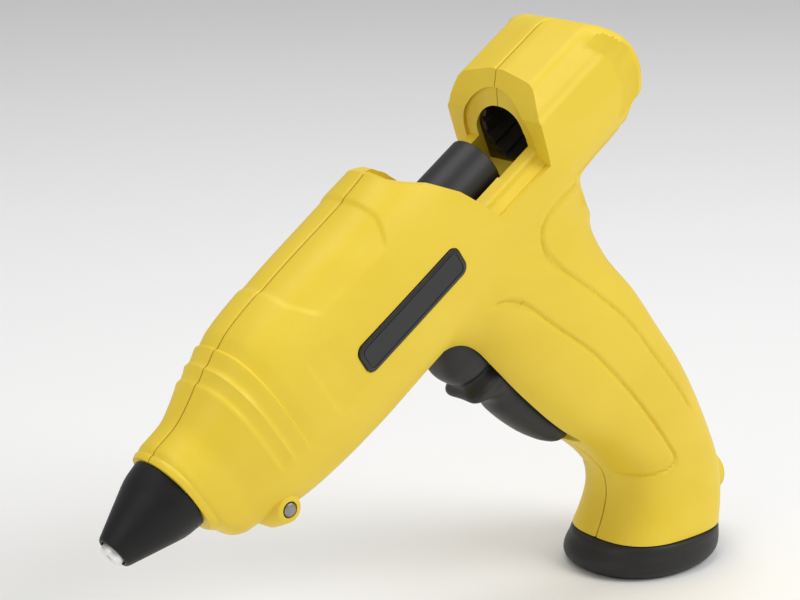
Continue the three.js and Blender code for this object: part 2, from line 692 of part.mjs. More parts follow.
function cordGland() {
  const [x, z] = CORD_INLET;
  const r = CORD_INLET_R - GAP;
  const outline = [[CORD_BORE_R, 0], [r, 0], [r, 6.2], [CORD_BORE_R, 6.2], [CORD_BORE_R, 0]];
  const g = new THREE.LatheGeometry(outline.map(([radius, h]) => new THREE.Vector2(radius, h)), 24);
  g.rotateZ(-Math.PI / 2);
  g.translate(x - 5.6, 0, z);
  return toSolid(g);
}

/** Internal lead from the heater back under the carriage and down the handle. */
function heaterLead(side) {
  const points = [
    onAxis(65.4, side * 3.2, HEATER_TOP - 2.1),
    onAxis(67.6, side * 3.2, HEATER_TOP - 2.1),
    onAxis(72, side * 3.4, -17.8),
    onAxis(80, side * 3.4, -19.6),
    onAxis(96, side * 3.4, -19.6),
    onAxis(103, side * 6.8, -19),
    onAxis(109, side * 11.2, -18.6),
    onAxis(124, side * 11.4, -20),
    onAxis(136, side * 11.2, -30),
    onAxis(144, side * 10.8, -46),
    new THREE.Vector3(-22, side * 10.2, 80),
    new THREE.Vector3(-8, side * 9.4, 68),
    new THREE.Vector3(2, side * 7.4, 56),
    new THREE.Vector3(8.6, side * 4.6, 46),
    new THREE.Vector3(11.4, side * 3.6, 41.4),
  ];
  return wire(new THREE.CatmullRomCurve3(points), LEAD_R, 34, 6);
}

// ---------- assembly ----------
const LOOKS = {
  yellow: [0xe2c53a, 0.42, 0],
  black: [0x2b2929, 0.5, 0],
  rubber: [0x242323, 0.72, 0],
  steel: [0xb9bcc0, 0.35, 0.9],
  aluminium: [0xc8cacc, 0.4, 0.85],
  ceramic: [0xe6e0d2, 0.6, 0],
  silicone: [0xb8503c, 0.7, 0],
  label: [0x1e1d1d, 0.35, 0],
};

const group = new THREE.Group();

function addNode(name, solid, look) {
  const [color, roughness, metalness] = LOOKS[look];
  const mesh = new THREE.Mesh(toGeometry(solid),
    new THREE.MeshStandardMaterial({ color, roughness, metalness }));
  mesh.name = name;
  group.add(mesh);
}

const shells = casing();
addNode('left_shell', mainBody(shells.intersect(sideOf(true))), 'yellow');
addNode('right_shell', mainBody(shells.intersect(sideOf(false))), 'yellow');
addNode('nozzle', nozzle(), 'steel');
addNode('nozzle_boot', nozzleBoot(), 'rubber');
addNode('check_ball', checkBall(), 'steel');
addNode('check_spring', checkSpring(), 'steel');
addNode('heating_chamber', heatingChamber(), 'aluminium');
addNode('heater', heater(), 'ceramic');
addNode('heater_clip', heaterClip(), 'steel');
addNode('inlet_sleeve', inletSleeve(), 'silicone');
addNode('sleeve_clip', sleeveClip(), 'steel');
addNode('feed_carriage', feedCarriage(), 'black');
addNode('gripper_lever', gripperLever(), 'black');
addNode('lever_pin', leverPin(), 'steel');
addNode('drive_pin', drivePin(), 'steel');
addNode('return_spring', returnSpring(), 'steel');
addNode('trigger', trigger(), 'black');
addNode('trigger_pin', triggerPin(), 'steel');
addNode('nose_pin', nosePin(), 'steel');
addNode('stick_guide', stickGuide(), 'black');
addNode('foot', foot(), 'black');
addNode('badge', badge(), 'label');
addNode('terminal_block', terminalBlock(), 'ceramic');
addNode('cord_clamp', cordClamp(), 'black');
addNode('cord_gland', cordGland(), 'rubber');
addNode('lead_left', heaterLead(-1), 'silicone');
addNode('lead_right', heaterLead(1), 'silicone');
SHELL_SCREWS.forEach((place, i) => addNode(`shell_screw_${i + 1}`, shellScrew(place), 'steel'));

export default group;
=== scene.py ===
import json
import math

import bpy
import numpy as np
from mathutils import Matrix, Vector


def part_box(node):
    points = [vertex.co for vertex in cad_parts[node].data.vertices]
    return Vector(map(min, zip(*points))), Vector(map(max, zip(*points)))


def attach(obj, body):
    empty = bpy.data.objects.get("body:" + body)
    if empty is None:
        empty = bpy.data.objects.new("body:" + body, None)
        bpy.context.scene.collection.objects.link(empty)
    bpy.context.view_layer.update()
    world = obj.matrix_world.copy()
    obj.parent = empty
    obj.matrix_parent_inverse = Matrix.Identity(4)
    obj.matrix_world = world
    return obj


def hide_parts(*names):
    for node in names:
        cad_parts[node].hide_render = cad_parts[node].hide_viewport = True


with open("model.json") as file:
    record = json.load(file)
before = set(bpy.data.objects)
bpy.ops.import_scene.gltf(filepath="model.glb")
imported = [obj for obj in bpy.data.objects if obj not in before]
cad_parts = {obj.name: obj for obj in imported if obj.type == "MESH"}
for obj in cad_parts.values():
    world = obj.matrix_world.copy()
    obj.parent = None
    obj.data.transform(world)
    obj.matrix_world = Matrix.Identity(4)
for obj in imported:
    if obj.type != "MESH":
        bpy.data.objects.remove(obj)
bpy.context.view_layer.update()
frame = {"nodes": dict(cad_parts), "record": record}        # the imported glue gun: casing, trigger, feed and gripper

# ---------- driving dimensions, millimetres ----------
MM = 0.001
AXIS_TILT = math.radians(34.2)       # the glue stick's axis above the horizontal
TIP = np.array([-184.0, 0.0, 48.0])  # nozzle tip, zero of the axis frame
ALONG = np.array([math.cos(AXIS_TILT), 0.0, math.sin(AXIS_TILT)])
ABOVE = np.array([-math.sin(AXIS_TILT), 0.0, math.cos(AXIS_TILT)])
ACROSS = np.array([0.0, 1.0, 0.0])
SEAM = 0.15                          # half of the parting gap between the shells
WALL = 2.4
GAP = 0.3                            # clearance between pieces that fit together
NOSE_S, FOOT_Z = 22.0, 10.3          # where the casing starts: ahead along the axis, and above the foot
BARREL_END, HANDLE_TOP = 157.0, 128.0

# Barrel along the axis: distance from the tip, top, bottom, half width.
BARREL = np.array([
    [22, 11.3, -12.5, 11.2], [23.4, 11.9, -14.6, 11.7], [24.2, 12.0, -15.8, 11.9], [25.5, 12.2, -18.6, 12.0],
    [28, 12.3, -21.0, 12.3], [33, 12.7, -22.8, 12.7], [38, 14.4, -24.4, 13.9], [43, 16.7, -26.0, 15.1],
    [49, 18.9, -27.3, 15.8], [58, 21.0, -28.4, 16.4], [72, 22.3, -29.2, 16.8],
    [96, 23.0, -28.9, 17.1], [112, 23.2, -28.9, 17.1], [122, 22.8, -29.4, 17.1], [156, 22.0, -30.0, 17.2],
])
# Handle by height: front, back, half width.
HANDLE = np.array([
    [10.3, -18.2, 24.4, 18.2], [16, -15.8, 25.4, 17.2], [24, -14.4, 25.4, 16.2], [31, -16.8, 23.6, 15.8],
    [40, -26.6, 19.8, 15.8], [50, -42.2, 14.8, 16.1], [62, -56.6, 7.2, 16.5], [74, -69.0, -2.4, 16.8],
    [86, -81.0, -12.2, 17.0], [98, -92.0, -24.0, 16.8], [108, -95.0, -30.4, 16.4], [118, -96.0, -33.4, 15.6],
    [130, -94.0, -39.0, 14.0],
])
ROUND = 2.7                          # exponent of both sections: 2 is an ellipse, more is squarer
# Rear block section: half width and height above the axis, roof to keel.
BLOCK = np.array([
    [0, 16.4], [3.0, 16.2], [12.8, 14.6], [14.4, 13.6], [16.9, 9.2], [17.3, 7.7], [18.1, 6.7], [18.1, -3.0],
    [17.2, -10.6], [15.0, -15.6], [11.2, -19.2], [6.0, -21.4], [0, -22.0],
])
BLOCK_MIDDLE = -3.0
BLOCK_START, BLOCK_REAR = 139.0, 191.0
REAR_BULGE = 0.030                   # how fast the rear face falls away above and below the axis
RIM_PROUD = 2.0                      # the rim round the rear face
FAN_PIVOT = (-92.0, 66.0)            # x, z in the crook of the handle that the elbow's sections turn about


# ---------- the axis frame and the station tables ----------
def on_axis(s, y, n):
    """Point at s along the axis, y across and n above it: tip + s * along + y * across + n * above."""
    s, y, n = np.broadcast_arrays(np.asarray(s, float), np.asarray(y, float), np.asarray(n, float))
    return TIP + s[..., None] * ALONG + y[..., None] * ACROSS + n[..., None] * ABOVE


def to_axis(points):
    """The inverse of on_axis: s and n of points, as dot products with the two directions."""
    d = points - TIP
    return d @ ALONG, d @ ABOVE


def reading(table, t):
    """Cubic Hermite reading of a station table, slopes by central differences, flat beyond the ends."""
    rows = table[:, 0]
    t = np.clip(t, rows[0], rows[-1])
    i = np.clip(np.searchsorted(rows, t, side="right") - 1, 0, len(rows) - 2)
    values = table[:, 1:]
    slopes = np.gradient(values, rows, axis=0)
    h = (rows[i + 1] - rows[i])[..., None]
    u = ((t - rows[i]) / (rows[i + 1] - rows[i]))[..., None]
    return ((2 * u**3 - 3 * u**2 + 1) * values[i] + (u**3 - 2 * u**2 + u) * h * slopes[i]
            + (3 * u**2 - 2 * u**3) * values[i + 1] + (u**3 - u**2) * h * slopes[i + 1])


def smooth_min(a, b, k):
    """Smaller of a and b, with a fillet about k wide where they are nearly equal."""
    h = np.clip(0.5 + 0.5 * (b - a) / k, 0, 1)
    return b + (a - b) * h - k * h * (1 - h)


def smooth_step(x, low, high):
    """0 below low, 1 above high, and a cubic ease between them."""
    t = np.clip((x - low) / (high - low), 0, 1)
    return t * t * (3 - 2 * t)


def signed_power(value, exponent):
    """The size of value to the exponent, with value's own sign: the corner term of a superellipse."""
    return np.sign(value) * np.abs(value)**exponent


def full_turn(count):
    """Even angles once round, the last one short of the first."""
    return np.linspace(0, 2 * math.pi, count, endpoint=False)


def smooth_path(points, count):
    """Catmull-Rom curve through the points, read at count even parameters."""
    p = np.asarray(points, float)
    p = np.vstack([2 * p[0] - p[1], p, 2 * p[-1] - p[-2]])
    t = np.linspace(0, len(p) - 3 - 1e-9, count)
    i = t.astype(int)
    u = (t - i)[:, None]
    a, b, c, d = p[i], p[i + 1], p[i + 2], p[i + 3]
    return 0.5 * (2 * b + (c - a) * u + (2 * a - 5 * b + 4 * c - d) * u**2 + (3 * b - a - 3 * c + d) * u**3)


# ---------- the casing's outer form ----------
def block_reach():
    """Radius of the block's section against angle, with the outline's corners rounded by a short average."""
    right = BLOCK.copy()
    left = BLOCK[::-1] * [-1, 1]
    ring = np.vstack([right, left[1:]])
    t = np.linspace(0, len(ring) - 1, 1600)
    outline = np.stack([np.interp(t, np.arange(len(ring)), ring[:, k]) for k in (0, 1)], axis=1)
    angle = np.unwrap(np.arctan2(outline[:, 0], outline[:, 1] - BLOCK_MIDDLE))
    reach = np.hypot(outline[:, 0], outline[:, 1] - BLOCK_MIDDLE)
    even = np.linspace(0, 2 * math.pi, 721)
    reach = np.interp(even, angle, reach)
    window = np.hanning(11) / np.hanning(11).sum()
    reach = np.convolve(np.concatenate([reach[-11:-1], reach, reach[1:11]]), window, "same")[10:-10]
    return even, reach


BLOCK_ANGLE, BLOCK_REACH = block_reach()


def casing_distance(points):
    """
    Rough distance to the casing, under zero inside it. Barrel and handle are superellipse sections, the rear
    block a faceted section between leaning planes, and smooth minima fillet them together.
    """
    s, n = to_axis(points)
    x, y, z = points[..., 0], np.abs(points[..., 1]), points[..., 2]
    top, bottom, half = np.moveaxis(reading(BARREL, s), -1, 0)
    rise = (top - bottom) / 2
    barrel = ((y / half)**ROUND + (np.abs(n - (top + bottom) / 2) / rise)**ROUND)**(1 / ROUND) - 1
    barrel = np.maximum(barrel * half, s - BARREL_END)
    front, back, wide = np.moveaxis(reading(HANDLE, z), -1, 0)
    reach = (back - front) / 2
    handle = ((y / wide)**ROUND + (np.abs(x - (front + back) / 2) / reach)**ROUND)**(1 / ROUND) - 1
    handle = np.maximum(handle * wide, z - HANDLE_TOP)
    angle = np.arctan2(y, n - BLOCK_MIDDLE)
    taper = 1 - 0.10 * smooth_step(s, BLOCK_START + 14, BLOCK_START - 2)
    rear_s = BLOCK_REAR - REAR_BULGE * n**2
    rim = RIM_PROUD * smooth_step(s - rear_s, -6.8, -4.4)
    rim *= smooth_step(n, -11.2, -9.4) * smooth_step(n, 13.4, 11.4)
    block = np.hypot(y, n - BLOCK_MIDDLE) - (np.interp(angle, BLOCK_ANGLE, BLOCK_REACH) + rim) * taper
    rear = (s - rear_s) * 0.94
    block = -smooth_min(-block, -rear, 4.0)
    block = np.maximum(block, BLOCK_START - s)
    soft = 1.2 + 8.0 * np.clip(1 - (y / 16)**2, 0, 1)
    return smooth_min(smooth_min(barrel, handle, soft), block, 0.6 * soft)


GROOVE_A = smooth_path([(-24, 137), (-34, 129), (-47, 120.5), (-53.5, 116.4), (-57, 112.4), (-57.3, 108),
                        (-55.2, 103.8), (-50, 99.6), (-36, 90), (-22, 79), (-9, 65), (1, 54), (7, 45.5)], 500)
GROOVE_B = smooth_path([(-76, 92.6), (-71, 94), (-66.5, 93.4), (-61, 90.6), (-52, 84), (-39, 75), (-30, 67),
                        (-20, 57), (-11, 47), (-4.6, 39), (-2.4, 36), (-2.6, 33.4), (-6, 31.6), (-11, 30.9),
                        (-17, 31), (-24, 32.4), (-30, 35.6), (-37, 40)], 600)


GROOVE_DEPTH, GROOVE_WIDTH = 0.78, 0.55
TIERS, TIER_DEPTH = (52.6, 47.9, 43.6), 0.46     # rear edges of the steps on the nose flank
PANEL_DEPTH = 0.45
COLLAR_S, COLLAR_DEPTH = 24.0, 0.4
EDGE_ROUND = 0.35                                # how far the parting edge falls away


def distance_to(path, flat):
    """Shortest distance from each point of flat to a curve given as close points, and where along it."""
    best = np.full(len(flat), np.inf)
    where = np.zeros(len(flat), int)
    for start in range(0, len(path), 50):
        gap = np.hypot(flat[:, None, 0] - path[None, start:start + 50, 0],
                       flat[:, None, 1] - path[None, start:start + 50, 1])
        k = gap.argmin(axis=1)
        gap = gap[np.arange(len(flat)), k]
        closer = gap < best
        best[closer] = gap[closer]
        where[closer] = start + k[closer]
    return best, where


def surface_relief(points):
    """
    How far the surface lies below the plain form: two moulded grooves, three stepped tiers on the nose flank,
    a shallow roof panel, a step ahead of the badge, the collar's groove and the rounded parting edge.
    """
    s, n = to_axis(points)
    y = np.abs(points[..., 1])
    flat = points[..., [0, 2]].reshape(-1, 2)
    relief = np.zeros(s.shape)
    for path in (GROOVE_A, GROOVE_B):
        gap, where = distance_to(path, flat)
        ends = smooth_step(np.minimum(where, len(path) - 1 - where) / len(path), 0.0, 0.05)
        groove = (GROOVE_DEPTH * ends * np.exp(-(gap / GROOVE_WIDTH)**2)).reshape(s.shape)
        relief += groove * smooth_step(y, 3.0, 8.0)
    for tier in TIERS:
        behind = s - tier
        step = smooth_step(behind, -0.55, 0.1) * (1 - smooth_step(behind, 0.1, 4.4))
        lip = smooth_step(behind, -2.0, -0.4) * 0.35 * (behind < 0.1)
        relief += TIER_DEPTH * (step - lip) * smooth_step(n, -11.5, -7.5)
    lower = 14.6 + 5.2 * (smooth_step(s, 75, 70) + smooth_step(s, 99, 104))
    panel = smooth_step(n, lower - 0.8, lower + 0.8) * smooth_step(s, 69.6, 71.0) * smooth_step(s, 104, 102.4)
    relief += PANEL_DEPTH * panel
    along_step = PANEL_DEPTH * smooth_step(s, 63.0, 64.6) * smooth_step(s, 76, 70)
    relief += along_step * smooth_step(n, -11, -9) * smooth_step(n, 9, 7)
    relief += COLLAR_DEPTH * np.exp(-((s - COLLAR_S) / 0.6)**2)
    relief += EDGE_ROUND * np.exp(-(y / 0.45)**2)
    return relief


def fan_rows(count, reach_steps=320):
    """Rays from the pivot in the crook, barrel normal to horizontal, cut where they enter and leave."""
    angle = np.linspace(math.pi / 2 + AXIS_TILT, 0, count)
    direction = np.stack([np.cos(angle), np.zeros(count), np.sin(angle)], axis=1)
    pivot = np.array([FAN_PIVOT[0], 0.0, FAN_PIVOT[1]])
    radius = np.linspace(0.5, 150, reach_steps)
    inside = casing_distance(pivot + direction[:, None, :] * radius[None, :, None]) < 0
    enter = inside.argmax(axis=1)
    leave = enter + (~(inside | (np.arange(reach_steps) < enter[:, None]))).argmax(axis=1) - enter
    middle = (radius[enter] + radius[leave]) / 2
    window = np.hanning(9) / np.hanning(9).sum()
    padded = np.concatenate([np.full(4, middle[0]), middle, np.full(4, middle[-1])])
    middle = np.convolve(padded, window, "valid")
    return pivot + direction * middle[:, None], direction, (radius[leave] - radius[enter]) / 2


def casing_rows(first_s, last_z, barrel_step, fan_count, handle_step):
    """Place of each section and the way its height runs: along the barrel, round the crook, down the handle."""
    pivot_s = to_axis(np.array([FAN_PIVOT[0], 0.0, FAN_PIVOT[1]]))[0]
    s = np.linspace(first_s, pivot_s, max(3, int((pivot_s - first_s) / barrel_step)))[:-1]
    top, bottom, _ = reading(BARREL, s).T
    barrel = on_axis(s, 0, (top + bottom) / 2)
    fan, direction, reach = fan_rows(fan_count)
    z = np.linspace(FAN_PIVOT[1], last_z, max(3, int((FAN_PIVOT[1] - last_z) / handle_step)))[1:]
    front, back, _ = reading(HANDLE, z).T
    handle = np.stack([(front + back) / 2, np.zeros(len(z)), z], axis=1)
    centre = np.vstack([barrel, fan, handle])
    height = np.vstack([np.tile(ABOVE, (len(s), 1)), direction, np.tile([1.0, 0, 0], (len(z), 1))])
    window = np.hanning(31) / np.hanning(31).sum()
    even = np.stack([np.convolve(np.pad(c, 15, "edge"), window, "valid") for c in centre.T], axis=1)
    inner = slice(15, len(centre) - 15)
    centre[inner] += height[inner] * ((even - centre)[inner] * height[inner]).sum(axis=1, keepdims=True)
    half = np.concatenate([(top - bottom) / 2, reach, (back - front) / 2])
    return centre, height, half


def casing_surface(rows, columns, inset, tight=0.15):
    """
    Half of the casing's skin: in each section a ray leaves the centre at angle a, from the outer seam (0) to
    the inner seam (pi), and halving finds where casing_distance reaches -inset.
    """
    centre, height, half = rows
    u = np.linspace(0, 1, columns)
    a = math.pi * (u - tight * np.sin(2 * math.pi * u) / (2 * math.pi))
    ray = (half[:, None] * np.cos(a))[..., None] * height[:, None, :] + (17 * np.sin(a))[:, None] * ACROSS
    ray /= np.linalg.norm(ray, axis=-1, keepdims=True)
    low = np.zeros(ray.shape[:2])
    high = np.broadcast_to(1.25 * np.hypot(half, 17)[:, None] + 4, low.shape).copy()
    for _ in range(26):
        middle = (low + high) / 2
        inside = casing_distance(centre[:, None, :] + ray * middle[..., None]) < -inset
        low = np.where(inside, middle, low)
        high = np.where(inside, high, middle)
    return centre[:, None, :] + ray * ((low + high) / 2)[..., None]


def with_relief(skin):
    """Moves each point of a skin inwards along its normal, the gradient of casing_distance by differences."""
    reach = 0.05 * np.eye(3)
    normal = np.stack([casing_distance(skin + d) - casing_distance(skin - d) for d in reach], axis=-1)
    normal /= np.maximum(np.linalg.norm(normal, axis=-1, keepdims=True), 1e-9)
    normal[:, [0, -1], 1] = 0
    return skin - normal * surface_relief(skin)[..., None]


# ---------- meshes ----------
def in_scene(name, data):
    """A new object with the data, linked to the scene."""
    obj = bpy.data.objects.new(name, data)
    bpy.context.scene.collection.objects.link(obj)
    return obj


def mesh_object(name, points, faces):
    """A mesh of points in millimetres; faces is a list of index arrays, each N by 4 or one ring."""
    mesh = bpy.data.meshes.new(name)
    rings = [np.atleast_2d(np.asarray(f, np.int64)) for f in faces]
    total = np.concatenate([np.full(len(f), f.shape[1]) for f in rings])
    loops = np.concatenate([f.ravel() for f in rings])
    mesh.vertices.add(len(points))
    mesh.vertices.foreach_set("co", (np.asarray(points) * MM).astype(np.float32).ravel())
    mesh.loops.add(len(loops))
    mesh.loops.foreach_set("vertex_index", loops.astype(np.int32))
    mesh.polygons.add(len(total))
    mesh.polygons.foreach_set("loop_start", (np.cumsum(total) - total).astype(np.int32))
    mesh.polygons.foreach_set("loop_total", total.astype(np.int32))
    mesh.update(calc_edges=True)
    return in_scene(name, mesh)


def faced_out(obj):
    """Turns the faces outwards if the mesh's signed volume, a sum over its triangles, is under zero."""
    mesh = obj.data
    mesh.calc_loop_triangles()
    co = np.zeros(len(mesh.vertices) * 3)
    mesh.vertices.foreach_get("co", co)
    tri = np.zeros(len(mesh.loop_triangles) * 3, np.int32)
    mesh.loop_triangles.foreach_get("vertices", tri)
    p = co.reshape(-1, 3)[tri.reshape(-1, 3)]
    if np.einsum("ij,ij->i", p[:, 0], np.cross(p[:, 1], p[:, 2])).sum() < 0:
        mesh.flip_normals()
    return obj


def grid_quads(rows, columns, wrap=False):
    """Index quads of a rows by columns grid, the last column joined to the first if wrap."""
    r = np.arange(rows - 1)[:, None]
    c = np.arange(columns if wrap else columns - 1)[None, :]
    nxt = (c + 1) % columns
    return np.stack([r * columns + c, r * columns + nxt, (r + 1) * columns + nxt, (r + 1) * columns + c],
                    axis=-1).reshape(-1, 4)


def lofted(name, rings):
    """Closed body through rings of equal count, an array of rings by points, flat at both ends."""
    rings = np.asarray(rings, float)
    rows, columns = rings.shape[:2]
    last = (rows - 1) * columns
    faces = [grid_quads(rows, columns, True), np.arange(columns)[::-1], last + np.arange(columns)]
    return faced_out(mesh_object(name, rings.reshape(-1, 3), faces))


def closed_tube(name, rings):
    """Ring-shaped body: rings of equal count whose last row joins the first, as a turned section does."""
    rings = np.asarray(rings, float)
    rows, columns = rings.shape[:2]
    quads = grid_quads(rows + 1, columns, True) % (rows * columns)
    return faced_out(mesh_object(name, rings.reshape(-1, 3), [quads]))


def turned(name, profile, segments=96):
    """A closed profile of radius and s, turned about the stick axis: each row is one circle."""
    p = np.asarray(profile, float)
    a = full_turn(segments)
    rings = on_axis(p[:, 1][:, None], p[:, 0][:, None] * np.cos(a), p[:, 0][:, None] * np.sin(a))
    return closed_tube(name, rings)


def axis_prism(name, corners, y0, y1):
    """Prism across the part, its side outline given by corners in s and n."""
    c = np.asarray(corners, float)
    return lofted(name, [on_axis(c[:, 0], y, c[:, 1]) for y in (y0, y1)])


def rod(name, centre, direction, radius, start, end, segments=64):
    """Straight round rod: circles about centre + t * direction at start and end, radius one number or two."""
    d = np.asarray(direction, float)
    side = np.cross(d, [0.3, 0.9, 0.2])
    side /= np.linalg.norm(side)
    other = np.cross(d, side)
    a = full_turn(segments)[:, None]
    radii = np.broadcast_to(radius, 2)
    rings = [np.asarray(centre, float) + t * d + r * (np.cos(a) * side + np.sin(a) * other)
             for t, r in zip((start, end), radii)]
    return lofted(name, rings)


def circle_across(x, y, z, radius, count):
    """Circle in the side plane at y, as points x + r cos a and z + r sin a."""
    a = full_turn(count)
    return np.stack([x + radius * np.cos(a), np.full(count, y), z + radius * np.sin(a)], axis=1)


def node_box(node):
    """Low and high corner of a node's box, millimetres."""
    return [np.array(v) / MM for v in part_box(node)]


def combine(target, tool, operation="DIFFERENCE"):
    """Cuts the tool from the target, joins it on or keeps their common part, and removes the tool."""
    boolean = target.modifiers.new("combine", "BOOLEAN")
    boolean.operation = operation
    boolean.solver = "MANIFOLD"
    boolean.object = tool
    depsgraph = bpy.context.evaluated_depsgraph_get()
    result = bpy.data.meshes.new_from_object(target.evaluated_get(depsgraph))
    target.modifiers.clear()
    old = target.data
    target.data = result
    bpy.data.meshes.remove(old)
    bpy.data.objects.remove(tool)
    return target


def smooth_edges(obj, degrees=32):
    """Smooth shading, with the edges whose faces meet at more than the angle kept crisp."""
    obj.data.shade_smooth()
    obj.data.set_sharp_from_angle(angle=math.radians(degrees))
    return obj


# ---------- the two shells ----------
GUIDE_SEAT_R = 9.5
ARCH_HALF, ARCH_TOP = 9.5, 7.6
PANEL_HALF, PANEL_TOP = 13.4, 12.6
FACE = np.array([                    # the block's front face: height above the axis, place along it
    (-9.4, 150.4), (0.0, 152.2), (7.0, 154.0), (10.0, 156.0), (16.0, 161.2), (19.0, 163.2), (40.0, 178.0)])
WINDOW_S, SILL = 131.0, -5.0         # the window's front edge along the axis, its floor above it
BADGE_S, BADGE_N, BADGE_FLOOR = (76.0, 115.0), (-8.2, 0.2), 16.3
BADGE_FACE, BADGE_CORNER_R = 17.45, 2.4
NOSE_BOSS, NOSE_BOSS_HALF = (39.7, -21.0), 13.2
CORD_X, CORD_Z, CORD_R = 30.0, 19.5, 4.5
NOSE_HOLE_R, PIN_HOLE_R, SLOT_HALF = 10.4, 2.2, 8.2
SCREW_SEAT_R, SCREW_SEAT_Y = 3.0, 9.7
TRIGGER_PIVOT, DRIVE_PIN, LEVER_PIVOT = (112.0, -27.0), (115.0, -12.6), (122.0, -11.2)
TUBE_R, TUBE_BORE_R, TUBE_FRONT, TUBE_REAR = 8.0, 6.2, 90.4, 142.4
GUIDE_R, GUIDE_REAR = 9.2, 187.0
FOOT_ROUND = 2.15                    # exponent of the foot's outline


def closed_half(name, skin, side):
    """One half's skin, closed by a flat strip on the parting plane and a face at each end."""
    count, columns = skin.shape[:2]
    skin[..., 1] *= side
    r = np.arange(count - 1)[:, None] * columns
    strip = r + np.array([0, columns, 2 * columns - 1, columns - 1])
    last = (count - 1) * columns
    faces = [grid_quads(count, columns), strip, np.arange(columns)[::-1], last + np.arange(columns)]
    return faced_out(mesh_object(name, skin.reshape(-1, 3), faces))


def outer_half(side, name):
    """Solid half of the casing: the skin with its relief, closed by a flat strip on the parting plane."""
    rows = casing_rows(NOSE_S, FOOT_Z, 0.62, 250, 0.8)
    skin = with_relief(casing_surface(rows, 186, 0.0))
    skin[..., 1] = np.maximum(skin[..., 1], SEAM)
    skin[:, [0, -1], 1] = SEAM
    skin[0] -= ((skin[0] - TIP) @ ALONG - NOSE_S)[:, None] * ALONG
    skin[-1, :, 2] = FOOT_Z
    return closed_half(name, skin, side)


def inner_half(side):
    """The hollow: the same form a wall's thickness in, run past the parting plane and out at the foot."""
    rows = casing_rows(26.4, 6.0, 2.0, 90, 3.0)
    skin = casing_surface(rows, 48, WALL)
    skin[:, [0, -1], 1] = -1.0
    return closed_half("hollow", skin, side)


def arch_outline(half, top, bottom, points=40):
    """Half ellipse over straight legs: y = half * cos a and n = top * sin a, then down to the bottom."""
    a = np.linspace(0, math.pi, points)
    y = np.concatenate([[half], half * np.cos(a), [-half]])
    n = np.concatenate([[bottom], top * np.sin(a), [bottom]])
    return y, n


def arch_cutter(half, top, bottom, start, behind):
    """The arch outline run along the axis to a depth behind the block's face, which it follows with height."""
    y, n = arch_outline(half, top, bottom)
    return lofted("arch", [on_axis(start, y, n), on_axis(np.interp(n, FACE[:, 0], FACE[:, 1]) + behind, y, n)])


def rounded_outline(s0, s1, n0, n1, radius, points):
    """Rectangle with quarter-circle corners, as s and n."""
    corners = [(s1 - radius, n0 + radius, -90), (s1 - radius, n1 - radius, 0),
               (s0 + radius, n1 - radius, 90), (s0 + radius, n0 + radius, 180)]
    return np.vstack([np.stack([cs + radius * np.cos(a), cn + radius * np.sin(a)], axis=1)
                      for cs, cn, first in corners
                      for a in [np.radians(np.linspace(first, first + 90, points))]])


def badge_outline(inset, radius, points):
    """The badge's rounded rectangle, drawn in all round by an inset."""
    return rounded_outline(BADGE_S[0] + inset, BADGE_S[1] - inset, BADGE_N[0] + inset, BADGE_N[1] - inset,
                           radius, points)


def window_cutter():
    """Everything above the sill between the barrel's sloping rear edge and the block's leaning face."""
    high = 40
    front = np.array([
        [WINDOW_S, SILL], [127.6, 3.0], [124.6, 9.6], [120.4, 15.4], [113.0, 21.6], [106.0, high]])
    rear = np.vstack([FACE[:0:-1, ::-1], [[150.9, SILL]]])
    return axis_prism("window", np.vstack([front, rear]), -30, 30)


def trigger_slot():
    """The slot in the handle's front, its outline rounded where the trigger's top shows."""
    outline = smooth_path([(98.6, -46), (98.2, -36), (99.6, -29), (103.5, -25.2), (109, -24.4), (115, -25.4),
                           (120, -29.4), (123.4, -36), (125.2, -46), (127, -60), (128.4, -74), (127.6, -82.5),
                           (123.6, -87.0), (117, -90), (108, -88), (99, -62)], 90)
    return axis_prism("slot", outline, -SLOT_HALF, SLOT_HALF)


def nose_boss(side):
    """Boss for the cross pin: circles that grow towards the middle, with a rounded outer edge."""
    y = np.array([1.0, 8.0, 10.4, NOSE_BOSS_HALF - 0.9, NOSE_BOSS_HALF - 0.3, NOSE_BOSS_HALF])
    r = np.array([6.6, 6.0, 4.8, 3.8, 3.5, 2.9])[:, None]
    a = full_turn(72)
    s, n = NOSE_BOSS[0] + r * np.cos(a), NOSE_BOSS[1] + r * np.sin(a)
    return lofted("boss", on_axis(s, side * y[:, None], n))


def cradle(side):
    """Ledge beside the feed tube: two steps across, run along the axis from the barrel to the block."""
    y = np.array([9.5, 9.7, 13.2, 13.5, 13.7, 16.0, 16.0, 9.5])
    n = np.array([-1.1, -0.9, -1.6, -1.9, -3.1, -4.7, -9.5, -9.5])
    return lofted("cradle", [on_axis(s, side * y, n) for s in (123.0, 152.6)])


def bulkhead(side):
    """Front wall of the window, set in a little from the barrel's edge, with the hole for the feed tube."""
    a = np.linspace(0, math.pi, 60)
    top, bottom, half = reading(BARREL, np.array(118.0))
    y = SEAM + (half - 1.4) * signed_power(np.sin(a), 2 / ROUND)
    middle = (top + bottom) / 2
    n = middle + ((top - bottom) / 2 - 1.4) * signed_power(np.cos(a), 2 / ROUND)
    keep = n > -12
    y, n = np.append(y[keep], SEAM), np.append(n[keep], n[keep][-1])
    front = np.interp(n, [-12, 3.0, 9.6, 15.4, 21.6, 24], [131.8, 127.2, 124.2, 120.0, 112.7, 111.2])
    wall = lofted("bulkhead", [on_axis(front - 2.2, side * y, n), on_axis(front, side * y, n)])
    combine(wall, rod("hole", TIP, ALONG, 8.5, 90, 160))
    return wall


def face_slab(back):
    """The slab behind the block's leaning front face, from ahead of it to a depth behind it, as a prism."""
    near = [(s - 3, n) for n, s in FACE]
    far = [(s + back, n) for n, s in FACE[::-1]]
    return axis_prism("slab", near + far, -30, 30)


